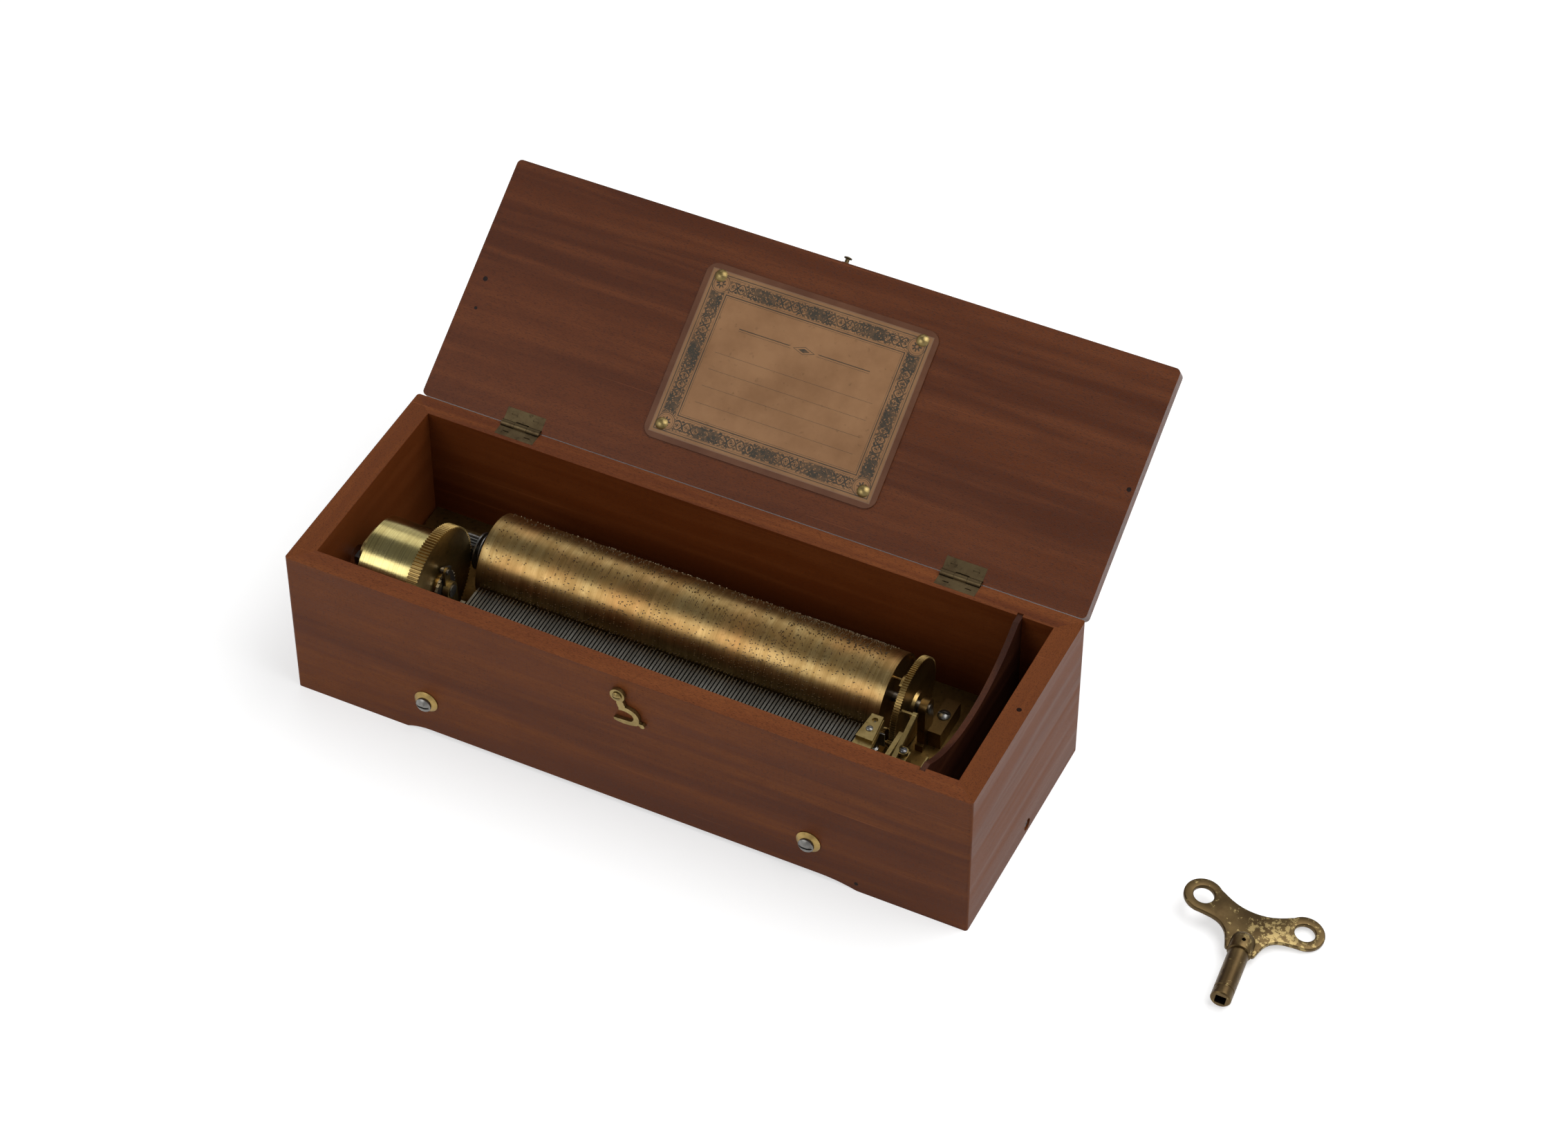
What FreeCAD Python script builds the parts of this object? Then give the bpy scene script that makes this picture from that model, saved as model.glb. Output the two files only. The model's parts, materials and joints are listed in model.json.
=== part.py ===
import FreeCAD, Part
import Sketcher
import math
import os

# A small key-wound cylinder music box, lid open, with its winding key lying beside it.
# Millimetres. X runs along the box (plus to the listener's right), Y to the back, Z up.
# The origin is the centre of the box's footprint on the table. Rest pose: lid open.

V = FreeCAD.Vector
doc = FreeCAD.newDocument("MusicBox")
sheet = doc.addObject("Spreadsheet::Sheet", "Sizes")


class Size:
    """A length with its value and the sheet expression that it comes from."""

    def __init__(self, value, text):
        self.value = float(value)
        self.text = text

    def __add__(self, other):
        other = as_size(other)
        return Size(self.value + other.value, "(%s + %s)" % (self.text, other.text))

    def __radd__(self, other):
        return as_size(other) + self

    def __sub__(self, other):
        other = as_size(other)
        return Size(self.value - other.value, "(%s - %s)" % (self.text, other.text))

    def __rsub__(self, other):
        return as_size(other) - self

    def __mul__(self, other):
        other = as_size(other)
        return Size(self.value * other.value, "(%s * %s)" % (self.text, other.text))

    def __rmul__(self, other):
        return as_size(other) * self

    def __truediv__(self, other):
        other = as_size(other)
        return Size(self.value / other.value, "(%s / %s)" % (self.text, other.text))

    def __neg__(self):
        return Size(-self.value, "(0 - %s)" % self.text)


def as_size(number):
    if isinstance(number, Size):
        return number
    return Size(number, repr(float(number)))


def root(s):
    return Size(math.sqrt(s.value), "sqrt(%s)" % s.text)


def cosine(angle):
    return Size(math.cos(math.radians(angle.value)), "cos(%s * 1deg)" % angle.text)


def sine(angle):
    return Size(math.sin(math.radians(angle.value)), "sin(%s * 1deg)" % angle.text)


rows = 0


def size(alias, value, note):
    """Write one driving dimension in the sheet and give it back."""
    global rows
    rows += 1
    sheet.set("A%d" % rows, note)
    sheet.set("B%d" % rows, str(value))
    sheet.setAlias("B%d" % rows, alias)
    return Size(value, "Sizes.%s" % alias)


# The case.
case_length = size("case_length", 368, "case, outside, along X")
case_depth = size("case_depth", 132, "case, outside, along Y")
case_height = size("case_height", 90, "case, table to top edge")
wall = size("wall", 11, "thickness of the front and back boards")
end_wall = size("end_wall", 12, "thickness of the end boards")
arris = size("arris", 1.6, "rounding of the case's upright corners")
bottom_rise = size("bottom_rise", 2.6, "underside of the bottom board above the table")
bottom_thick = size("bottom_thick", 5.4, "bottom board")
recess_depth = size("recess_depth", 2.8, "hollow in the lower edge of the long boards")
recess_left = size("recess_left", 108, "hollow's full depth starts, left of centre")
recess_right = size("recess_right", 106, "hollow's full depth ends, right of centre")
recess_run_left = size("recess_run_left", 13, "curved run-out at the left")
recess_run_right = size("recess_run_right", 20, "curved run-out at the right")
partition_x = size("partition_x", 152.5, "left face of the partition")
partition_thick = size("partition_thick", 3, "partition board")
partition_slot = size("partition_slot", 2, "depth of its grooves in the long boards")
partition_drop = size("partition_drop", 0.8, "partition's horns below the case's top")
scoop_depth = size("scoop_depth", 15.9, "scoop in the partition's top edge")
scoop_half = size("scoop_half", 51, "half the scoop's width")
wood_play = size("wood_play", 0.1, "side play of a board in its groove")
end_screw_y = size("end_screw_y", 4.7, "right end's fixing screw, along Y")
end_screw_z = size("end_screw_z", 5.3, "right end's fixing screw, height")
end_screw_head = size("end_screw_head", 3.0, "its head's radius")

# The lid and its hinges.
lid_left = size("lid_left", 182, "lid's left end, left of centre")
lid_right = size("lid_right", 183.5, "lid's right end, right of centre")
lid_reach = size("lid_reach", 131.9, "lid's front edge from the hinge line")
lid_back = size("lid_back", 0.4, "lid's back edge from the hinge line")
lid_thick = size("lid_thick", 10.5, "lid board")
lid_round = size("lid_round", 2.6, "rounding of the lid's outer edges")
lid_open = size("lid_open", 146.3, "opening angle in the rest pose, degrees")
leaf_width = size("leaf_width", 21.5, "hinge leaf, along the hinge line")
leaf_reach = size("leaf_reach", 8.6, "hinge leaf, away from the hinge line")
leaf_thick = size("leaf_thick", 1.2, "hinge leaf")
knuckle_r = size("knuckle_r", 1.9, "hinge knuckle, outside radius")
knuckle_gap = size("knuckle_gap", 0.12, "side gap between knuckles")
hinge_pin_r = size("hinge_pin_r", 0.9, "hinge pin radius")
hinge_left_x = size("hinge_left_x", 124.5, "left hinge's centre, left of centre")
hinge_right_x = size("hinge_right_x", 118.3, "right hinge's centre, right of centre")
leaf_screw_r = size("leaf_screw_r", 1.7, "hinge screw head radius")
leaf_screw_off = size("leaf_screw_off", 6.0, "hinge screws either side of the leaf's middle")
leaf_screw_back = size("leaf_screw_back", 5.4, "hinge screws from the hinge line")
leaf_screw_long = size("leaf_screw_long", 7.0, "hinge screw length")

# The tune sheet on the lid.
sheet_left = size("sheet_left", 63.6, "film's left edge, left of centre")
sheet_right = size("sheet_right", 64.0, "film's right edge, right of centre")
sheet_near = size("sheet_near", 17.0, "film's edge next to the hinge line")
sheet_far = size("sheet_far", 112.0, "film's edge next to the lid's front")
sheet_margin = size("sheet_margin", 3.4, "film showing round the card")
sheet_corner = size("sheet_corner", 6.0, "rounding of the film's corners")
card_thick = size("card_thick", 0.4, "tune card")
film_thick = size("film_thick", 0.3, "clear film over the card")
tack_r = size("tack_r", 3.3, "tack head radius")
tack_high = size("tack_high", 1.7, "tack head height")
tack_shank_r = size("tack_shank_r", 0.6, "tack shank radius")
tack_shank = size("tack_shank", 6.0, "tack shank length into the lid")
tack_in_x = size("tack_in_x", 8.2, "tacks in from the film's ends")
tack_in_y = size("tack_in_y", 5.9, "tacks in from the film's far edge")
tack_in_near = size("tack_in_near", 8.2, "tacks in from the film's near edge")

# The hook and its stud.
hook_x = size("hook_x", -0.1, "hook's pivot along X")
hook_z = size("hook_z", 79.4, "hook's pivot height")
hook_thick = size("hook_thick", 1.9, "hook plate")
hook_gap = size("hook_gap", 0.3, "hook plate off the wood")
hook_eye_r = size("hook_eye_r", 3.9, "disc round the hook's pivot")
hook_hole_r = size("hook_hole_r", 1.3, "hook's pivot hole")
hook_screw_r = size("hook_screw_r", 1.2, "hook screw shank radius")
hook_screw_head = size("hook_screw_head", 2.4, "hook screw head radius")
hook_screw_long = size("hook_screw_long", 8.0, "hook screw length in the board")
eye_x = size("eye_x", 2.6, "lid's eye along X")
eye_up = size("eye_up", 2.6, "lid's eye above the lid's inner face")
eye_stem = size("eye_stem", 1.1, "eye's stem radius")
eye_head = size("eye_head", 2.1, "eye's head radius")
eye_out = size("eye_out", 3.6, "eye's reach off the lid's front edge")

# The fixing screws of the bedplate.
fix_left = size("fix_left", 109.0, "fixing screws left of centre")
fix_right = size("fix_right", 100.3, "fixing screws right of centre")
fix_z = size("fix_z", 23.0, "height of the fixing screws")
fix_shank_r = size("fix_shank_r", 1.8, "fixing screw shank radius")
fix_head_r = size("fix_head_r", 4.1, "fixing screw head radius")
fix_bite = size("fix_bite", 9.0, "fixing screw's length in the bedplate")
washer_r = size("washer_r", 6.45, "domed washer radius")
washer_high = size("washer_high", 2.4, "domed washer height")
hole_play = size("hole_play", 0.15, "radial play of a screw in its hole")

# The bedplate.
bed_thick = size("bed_thick", 5.0, "bedplate")
bed_left = size("bed_left", 170.5, "bedplate's left edge, left of centre")
bed_gap = size("bed_gap", 0.8, "bedplate's right edge off the partition")

# The spring barrel.
barrel_y = size("barrel_y", -21.3, "barrel axis along Y")
barrel_z = size("barrel_z", 56.3, "barrel axis height")
drum_r = size("drum_r", 25.6, "barrel drum radius")
drum_wall = size("drum_wall", 1.6, "barrel drum's wall")
drum_left = size("drum_left", 159.3, "drum's left end, left of centre")
wheel_left = size("wheel_left", 129.7, "barrel wheel's left face, left of centre")
wheel_right = size("wheel_right", 123.8, "barrel wheel's right face, left of centre")
drive_module = size("drive_module", 0.56, "module of the barrel wheel and its pinion")
barrel_teeth = size("barrel_teeth", 110, "teeth of the barrel wheel")
pinion_leaves = size("pinion_leaves", 22, "leaves of the cylinder's pinion")
arbor_r = size("arbor_r", 3.2, "barrel arbor radius")
square_side = size("square_side", 4.8, "winding square, across flats")
square_long = size("square_long", 8.0, "winding square length")
running = size("running", 0.06, "radial running clearance of arbors")
bridge_thick = size("bridge_thick", 3.4, "bridge uprights of the barrel")
bridge_half = size("bridge_half", 9.0, "half width of a barrel bridge")
bridge_foot = size("bridge_foot", 4.0, "thickness of the bridge feet")
boss_r = size("boss_r", 4.6, "boss on the right barrel bridge")
boss_long = size("boss_long", 5.0, "length of that boss")
hub_r = size("hub_r", 7.5, "hub of the barrel wheel")
hub_long = size("hub_long", 1.0, "hub's projection")
ratchet_r = size("ratchet_r", 9.6, "ratchet wheel radius")
ratchet_thick = size("ratchet_thick", 1.4, "ratchet wheel")
ratchet_teeth = size("ratchet_teeth", 24, "ratchet teeth")
ratchet_tooth = size("ratchet_tooth", 0.9, "ratchet tooth height")
side_gap = size("side_gap", 0.4, "gap between turning and standing faces")

# The cylinder.
axis_y = size("axis_y", 15.1, "cylinder axis along Y")
cylinder_r = size("cylinder_r", 22.7, "pinned cylinder radius")
cylinder_wall = size("cylinder_wall", 1.2, "its brass wall")
cylinder_left = size("cylinder_left", 112.4, "its left end, left of centre")
cylinder_right = size("cylinder_right", 108.6, "its right end, right of centre")
cap_thick = size("cap_thick", 2.0, "end caps of the cylinder")
cap_inset = size("cap_inset", 1.5, "end caps set in from the ends")
shaft_r = size("shaft_r", 2.5, "cylinder arbor radius")
pinion_left = size("pinion_left", 131.0, "pinion's left face, left of centre")
pinion_right = size("pinion_right", 121.6, "pinion's right face, left of centre")
tune_step = size("tune_step", 0.48, "sideways step of the cylinder from tune to tune")
great_left = size("great_left", 115.3, "governor wheel's left face")
great_thick = size("great_thick", 3.2, "governor wheel")
great_module = size("great_module", 0.43, "module of the governor wheel")
great_teeth = size("great_teeth", 110, "teeth of the governor wheel")
post_thick = size("post_thick", 4.0, "cylinder bridge uprights")
post_half = size("post_half", 6.5, "half width of those uprights")
post_foot = size("post_foot", 10.0, "height of their feet")
post_foot_long = size("post_foot_long", 11.0, "length of their feet")
bridge_screw_r = size("bridge_screw_r", 1.9, "bridge screw shank radius")
bridge_screw_head = size("bridge_screw_head", 3.3, "bridge screw head radius")
bridge_screw_high = size("bridge_screw_high", 1.9, "bridge screw head height")

# The comb.
comb_left = size("comb_left", 113.6, "comb's left end, left of centre")
comb_right = size("comb_right", 103.6, "comb's right end, right of centre")
comb_pitch = size("comb_pitch", 1.96, "pitch of the teeth")
comb_slots = size("comb_slots", 109, "number of saw cuts")
comb_cut = size("comb_cut", 0.7, "width of a saw cut")
tip_width = size("tip_width", 0.46, "width of a tooth's pointed tip")
tip_vee = size("tip_vee", 7.5, "length of the vee filed between two tips")
comb_thick = size("comb_thick", 3.2, "comb's root thickness")
tooth_thick = size("tooth_thick", 1.3, "tooth thickness")
comb_back = size("comb_back", 21.0, "comb's fixed part, front to back")
tooth_long = size("tooth_long", 30.0, "longest tooth")
tooth_short = size("tooth_short", 17.0, "shortest tooth")
tip_gap = size("tip_gap", 0.5, "tooth tips off the cylinder")
comb_screw_r = size("comb_screw_r", 1.6, "comb screw shank radius")
comb_screw_head = size("comb_screw_head", 3.0, "comb screw head radius")

# The governor.
worm_x = size("worm_x", 112.4, "endless screw's axis along X")
worm_y = size("worm_y", -18.6, "endless screw's axis along Y")
worm_r = size("worm_r", 1.5, "endless screw's core radius")
fly_r = size("fly_r", 5.2, "reach of the fly's blades")
fly_low = size("fly_low", 52.0, "fly's lower edge")
fly_high = size("fly_high", 60.2, "fly's upper edge")
fly_thick = size("fly_thick", 0.6, "fly blade")
gov_axis_y = size("gov_axis_y", -9.8, "governor wheel arbor along Y")
worm_wheel_module = size("worm_wheel_module", 0.36, "module of the worm wheel")
worm_wheel_teeth = size("worm_wheel_teeth", 36, "teeth of the worm wheel")
gov_leaves = size("gov_leaves", 8, "leaves of the governor pinion")
gov_top = size("gov_top", 66.0, "top of the governor's cock")
gov_slab = size("gov_slab", 3.6, "thickness of the cock's top")
cap_high = size("cap_high", 2.0, "governor's end plate")
fine_r = size("fine_r", 0.8, "governor arbors' radius")
pivot_r = size("pivot_r", 0.45, "governor pivots' radius")

# The levers.
lever_x = size("lever_x", 126.0, "stop lever's middle line along X")
lever_wide = size("lever_wide", 2.3, "lever's width")
lever_deep = size("lever_deep", 2.6, "lever's depth")
lever_gap = size("lever_gap", 3.5, "change lever left of the stop lever")
lever_post_y = size("lever_post_y", -41.0, "lever post along Y")
stop_pin_r = size("stop_pin_r", 0.8, "stop lever's steel pin")
stop_clear = size("stop_clear", 0.6, "stop pin's clearance off the governor wheel")

# The winding key.
key_x = size("key_x", 305.4, "key's shoulder along X")
key_y = size("key_y", -13.8, "key's shoulder along Y")
key_turn = size("key_turn", 5.0, "key turned on the table, degrees")
key_roll = size("key_roll", 6.2, "key rolled onto one ring, degrees")
key_shaft_r = size("key_shaft_r", 5.15, "key shaft radius")
key_shaft_long = size("key_shaft_long", 43.0, "key shaft length")
key_socket_deep = size("key_socket_deep", 14.0, "depth of the square socket")
key_socket_play = size("key_socket_play", 0.25, "socket over the winding square")
key_ring_r = size("key_ring_r", 9.5, "key ring outside radius")
key_ring_hole = size("key_ring_hole", 5.3, "key ring hole radius")
key_spread = size("key_spread", 25.8, "ring centres either side of the shaft")
key_bow_thick = size("key_bow_thick", 2.6, "bow plate")
key_neck_r = size("key_neck_r", 6.1, "collar where the shaft meets the bow")

doc.recompute()

# Sizes that follow from the ones above.
half_l = case_length / 2
half_d = case_depth / 2
in_x = half_l - end_wall
in_y = half_d - wall
floor_z = bottom_rise + bottom_thick
bed_top = fix_z + bed_thick / 2
bed_low = fix_z - bed_thick / 2
wheel_pitch = drive_module * barrel_teeth / 2
pinion_pitch = drive_module * pinion_leaves / 2
centre_gap = wheel_pitch + pinion_pitch
axis_drop = root(centre_gap * centre_gap - (axis_y - barrel_y) * (axis_y - barrel_y))
axis_z = barrel_z - axis_drop
great_pitch = great_module * great_teeth / 2
gov_pinion_pitch = great_module * gov_leaves / 2
gov_gap = great_pitch + gov_pinion_pitch
gov_axis_z = axis_z - root(gov_gap * gov_gap - (axis_y - gov_axis_y) * (axis_y - gov_axis_y))

nodes = []


def bind(obj, path, value):
    obj.setExpression(path, as_size(value).text)


def place(obj, x=0, y=0, z=0):
    """Put an object's own origin at a point given by sizes."""
    for letter, value in (("x", x), ("y", y), ("z", z)):
        bind(obj, "Placement.Base." + letter, value)


def named(obj, name):
    """Mark an object as a finished sub-part; its label names the file."""
    obj.Label = name
    nodes.append(obj)
    return obj


count = 0


def fresh(stem):
    global count
    count += 1
    return "%s%03d" % (stem, count)


def box(x0, x1, y0, y1, z0, z1):
    obj = doc.addObject("Part::Box", fresh("block"))
    bind(obj, "Length", x1 - x0)
    bind(obj, "Width", y1 - y0)
    bind(obj, "Height", z1 - z0)
    place(obj, x0, y0, z0)
    return obj


TURN = {
    "x": FreeCAD.Rotation(V(0, 1, 0), 90),
    "y": FreeCAD.Rotation(V(1, 0, 0), -90),
    "-y": FreeCAD.Rotation(V(1, 0, 0), 90),
    "z": FreeCAD.Rotation(),
    "-z": FreeCAD.Rotation(V(1, 0, 0), 180),
}


def rod(axis, x, y, z, radius, length):
    """A cylinder that starts at a point and runs along an axis."""
    obj = doc.addObject("Part::Cylinder", fresh("rod"))
    bind(obj, "Radius", radius)
    bind(obj, "Height", length)
    obj.Placement = FreeCAD.Placement(V(0, 0, 0), TURN[axis])
    place(obj, x, y, z)
    return obj


def fuse(*parts):
    obj = doc.addObject("Part::MultiFuse", fresh("union"))
    obj.Shapes = list(parts)
    return obj


def cut(base, *tools):
    obj = doc.addObject("Part::Cut", fresh("cut"))
    obj.Base = base
    obj.Tool = tools[0] if len(tools) == 1 else fuse(*tools)
    return obj


def common(one, two):
    obj = doc.addObject("Part::Common", fresh("common"))
    obj.Base = one
    obj.Tool = two
    return obj


def group(*parts):
    obj = doc.addObject("Part::Compound", fresh("set"))
    obj.Links = list(parts)
    return obj


def origin_plane(body, role):
    return [f for f in body.Origin.OriginFeatures if f.Role == role][0]


def bow(a, b, radius, side):
    """The short arc from a to b, bowed to the left (1) or to the right (-1) of the way."""
    chord = b - a
    left = V(-chord.y, chord.x, 0).normalize()
    back = math.sqrt(max(0.0, radius ** 2 - chord.Length ** 2 / 4))
    centre = (a + b) * 0.5 - left * (back * side)
    first, last = (a, b) if side < 0 else (b, a)
    start = math.atan2(first.y - centre.y, first.x - centre.x)
    end = math.atan2(last.y - centre.y, last.x - centre.x)
    return Part.ArcOfCircle(Part.Circle(centre, V(0, 0, 1), radius), start, end)


def outline(body, role, points, offset=0):
    """A closed sketch through the points; a third entry bows the side that follows.

    The third entry is (radius, side): side 1 bows to the left of the direction of
    travel and side -1 to the right.
    """
    sketch = body.newObject("Sketcher::SketchObject", fresh("outline"))
    sketch.AttachmentSupport = [(origin_plane(body, role), "")]
    sketch.MapMode = "FlatFace"
    bind(sketch, "AttachmentOffset.Base.z", offset)
    spots = [(as_size(p[0]), as_size(p[1])) for p in points]
    ends = []
    for i, point in enumerate(points):
        a = V(spots[i][0].value, spots[i][1].value, 0)
        n = (i + 1) % len(points)
        b = V(spots[n][0].value, spots[n][1].value, 0)
        if len(point) == 3:
            sketch.addGeometry(bow(a, b, as_size(point[2][0]).value, point[2][1]))
            ends.append((1, 2) if point[2][1] < 0 else (2, 1))
        else:
            sketch.addGeometry(Part.LineSegment(a, b))
            ends.append((1, 2))
    for i, point in enumerate(points):
        n = (i + 1) % len(points)
        sketch.addConstraint(Sketcher.Constraint("Coincident", i, ends[i][1], n, ends[n][0]))
    for i, point in enumerate(points):
        for kind, other, value in (("DistanceX", -2, spots[i][0]), ("DistanceY", -1, spots[i][1])):
            if abs(value.value) < 1e-9:
                sketch.addConstraint(Sketcher.Constraint("PointOnObject", i, ends[i][0], other))
                continue
            c = sketch.addConstraint(
                Sketcher.Constraint(kind, -1, 1, i, ends[i][0], value.value))
            bind(sketch, "Constraints[%d]" % c, value)
        if len(point) == 3:
            radius = as_size(point[2][0])
            c = sketch.addConstraint(Sketcher.Constraint("Radius", i, radius.value))
            bind(sketch, "Constraints[%d]" % c, radius)
    return sketch


def ring(body, role, radius, u=0, v=0, offset=0):
    """A sketch of one circle."""
    sketch = body.newObject("Sketcher::SketchObject", fresh("circle"))
    sketch.AttachmentSupport = [(origin_plane(body, role), "")]
    sketch.MapMode = "FlatFace"
    bind(sketch, "AttachmentOffset.Base.z", offset)
    u, v, radius = as_size(u), as_size(v), as_size(radius)
    sketch.addGeometry(Part.Circle(V(u.value, v.value, 0), V(0, 0, 1), radius.value))
    for kind, other, value in (("DistanceX", -2, u), ("DistanceY", -1, v)):
        if abs(value.value) < 1e-9:
            sketch.addConstraint(Sketcher.Constraint("PointOnObject", 0, 3, other))
        else:
            c = sketch.addConstraint(Sketcher.Constraint(kind, -1, 1, 0, 3, value.value))
            bind(sketch, "Constraints[%d]" % c, value)
    c = sketch.addConstraint(Sketcher.Constraint("Radius", 0, radius.value))
    bind(sketch, "Constraints[%d]" % c, radius)
    return sketch


def new_body(stem):
    return doc.addObject("PartDesign::Body", fresh(stem))


def pad(body, sketch, length, reverse=False):
    feature = body.newObject("PartDesign::Pad", fresh("pad"))
    feature.Profile = sketch
    bind(feature, "Length", length)
    feature.Reversed = reverse
    return feature


def plate(role, points, offset, length, stem="plate"):
    """A body padded from one outline, from an offset along the plane's normal."""
    body = new_body(stem)
    pad(body, outline(body, role, points, offset), length)
    return body


def pocket(body, sketch):
    """Cut a sketch right through the body, both ways."""
    feature = body.newObject("PartDesign::Pocket", fresh("pocket"))
    feature.Profile = sketch
    feature.Type = "ThroughAll"
    feature.Midplane = True
    return feature


def turned(axis, x, y, z, profile):
    """A body turned from a half profile of (radius, height) points, standing at a point."""
    body = new_body("turned")
    sketch = outline(body, "XZ_Plane", profile)
    feature = body.newObject("PartDesign::Revolution", fresh("turn"))
    feature.Profile = sketch
    feature.ReferenceAxis = (sketch, ["V_Axis"])
    feature.Angle = 360
    body.Placement = FreeCAD.Placement(V(0, 0, 0), TURN[axis])
    place(body, x, y, z)
    return body


def screw(axis, x, y, z, shank_r, length, head_r, head_high, slot=0.9):
    """A slotted round-head screw; the point given is under its head."""
    body = new_body("screw")
    profile = [(0, -length), (shank_r, -length), (shank_r, 0), (head_r, 0),
               (head_r, head_high * 0.35, ((head_r * head_r + head_high * head_high) / 2
                                           / head_high * 1.1, -1)),
               (head_r * 0.35, head_high), (0, head_high)]
    sketch = outline(body, "XZ_Plane", profile)
    feature = body.newObject("PartDesign::Revolution", fresh("turn"))
    feature.Profile = sketch
    feature.ReferenceAxis = (sketch, ["V_Axis"])
    feature.Angle = 360
    s = slot / 2
    r = head_r + 1
    notch = outline(body, "YZ_Plane",
                    [(-s, head_high * 0.5), (s, head_high * 0.5),
                     (s, head_high + 1), (-s, head_high + 1)])
    pocket(body, notch)
    body.Placement = FreeCAD.Placement(V(0, 0, 0), TURN[axis])
    place(body, x, y, z)
    return body


def gear(teeth, module, thick, bore, phase, x, y, z, tooth=0.38):
    """A spur wheel on an X axis; phase is the angle of one gap, from +Y towards +Z."""
    pitch = module * teeth / 2
    outer = pitch + module * 0.8
    inner = pitch - module * 1.2
    body = new_body("gear")
    pad(body, ring(body, "YZ_Plane", outer), thick)
    step = math.pi * module.value
    wide = Size(step * (1 - tooth), "(pi * %s * %r)" % (module.text, 1 - tooth))
    gap = outline(body, "YZ_Plane",
                  [(-wide * 0.72, outer + module * 0.3), (-wide * 0.34, inner),
                   (wide * 0.34, inner), (wide * 0.72, outer + module * 0.3)])
    groove = pocket(body, gap)
    pattern = body.newObject("PartDesign::PolarPattern", fresh("teeth"))
    pattern.Originals = [groove]
    pattern.Axis = (gap, ["N_Axis"])
    pattern.Angle = 360
    bind(pattern, "Occurrences", teeth)
    body.Tip = pattern
    pocket(body, ring(body, "YZ_Plane", bore))
    body.Placement = FreeCAD.Placement(V(0, 0, 0), FreeCAD.Rotation(V(1, 0, 0), phase - 90))
    place(body, x, y, z)
    return body


def bearing_angle(y0, z0, y1, z1):
    return math.degrees(math.atan2(z1.value - z0.value, y1.value - y0.value))


# The case: four mitred boards, rounded upright corners, a hollow along the lower edges.

def case_blank():
    """The case's outside form as one solid."""
    r = arris
    body = new_body("blank")
    corners = [(-half_l + r, -half_d), (half_l - r, -half_d, (r, -1)),
               (half_l, -half_d + r), (half_l, half_d - r, (r, -1)),
               (half_l - r, half_d), (-half_l + r, half_d, (r, -1)),
               (-half_l, half_d - r), (-half_l, -half_d + r, (r, -1))]
    pad(body, outline(body, "XY_Plane", corners), case_height)
    return body


def hollow():
    """The shallow hollow that leaves feet at the ends of a long board."""
    r1 = (recess_run_left * recess_run_left + recess_depth * recess_depth) / (recess_depth * 2)
    r2 = (recess_run_right * recess_run_right + recess_depth * recess_depth) / (recess_depth * 2)
    points = [(-recess_left - recess_run_left, -1.0),
              (-recess_left - recess_run_left, 0, (r1, 1)),
              (-recess_left, recess_depth),
              (recess_right, recess_depth, (r2, 1)),
              (recess_right + recess_run_right, 0),
              (recess_right + recess_run_right, -1.0)]
    return plate("XZ_Plane", points, -half_d - 1, case_depth + 2)


def board(points, *cuts):
    """One board: its mitred outline in plan, shaped like the case's outside."""
    blank = common(case_blank(), plate("XY_Plane", points, 0, case_height))
    return cut(blank, *cuts)


def side(sign):
    return -1 if sign < 0 else 1


def long_board(sign, *cuts):
    s = side(sign)
    groove = box(partition_x - wood_play / 2, partition_x + partition_thick + wood_play / 2,
                 in_y * s if s > 0 else -in_y - partition_slot,
                 in_y + partition_slot if s > 0 else -in_y,
                 0, case_height + 1)
    holes = [rod("y" if s > 0 else "-y", x, (in_y - 1) * s, fix_z, fix_shank_r + hole_play, wall + 2)
             for x in (-fix_left, fix_right)]
    points = [(-half_l, half_d * s), (half_l, half_d * s), (in_x, in_y * s), (-in_x, in_y * s)]
    return board(points, hollow(), groove, *(holes + list(cuts)))


hinges = (-hinge_left_x, hinge_right_x)
relief_r = knuckle_r + 0.4
leaf_screw_x = [h + off for h in hinges for off in (-leaf_screw_off, leaf_screw_off)]
cone_deep = 1.0


def cone_screw(axis, x, y, z, grow=0.0, slot=True):
    """A countersunk screw with its flat head at the given point, or the hole for it."""
    body = new_body("screw")
    up = 0 if slot else 0.5
    profile = [(0, -leaf_screw_long - grow), (0.9 + grow, -leaf_screw_long - grow),
               (0.9 + grow, -cone_deep), (leaf_screw_r + grow, 0)]
    if up:
        profile.append((leaf_screw_r + grow, up))
    profile.append((0, up))
    sketch = outline(body, "XZ_Plane", profile)
    feature = body.newObject("PartDesign::Revolution", fresh("turn"))
    feature.Profile = sketch
    feature.ReferenceAxis = (sketch, ["V_Axis"])
    feature.Angle = 360
    if slot:
        notch = outline(body, "YZ_Plane", [(-0.3, -0.5), (0.3, -0.5), (0.3, 1), (-0.3, 1)])
        pocket(body, notch)
    body.Placement = FreeCAD.Placement(V(0, 0, 0), TURN[axis])
    place(body, x, y, z)
    return body


leaf_screw_y = half_d - leaf_screw_back
gains = [box(h - leaf_width / 2 - 0.05, h + leaf_width / 2 + 0.05,
             half_d - leaf_reach - 0.05, half_d + 1, case_height - leaf_thick, case_height + 1)
         for h in hinges]
reliefs = [rod("x", h - leaf_width / 2 - 0.2, half_d, case_height, relief_r, leaf_width + 0.4)
           for h in hinges]
leaf_holes = [cone_screw("z", x, leaf_screw_y, case_height, 0.05, False) for x in leaf_screw_x]

hook_hole = rod("-y", hook_x, -half_d + hook_screw_long + 0.3, hook_z,
                hook_screw_r + 0.05, hook_screw_long + 2)
named(long_board(-1, hook_hole), "front_board")
named(long_board(1, *(gains + reliefs + leaf_holes)), "back_board")

winding_hole = rod("x", -half_l - 1, barrel_y, barrel_z, key_shaft_r + 1.2, end_wall + 2)
left_points = [(-half_l, -half_d), (-in_x, -in_y), (-in_x, in_y), (-half_l, half_d)]
named(board(left_points, winding_hole), "left_end_board")

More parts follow.
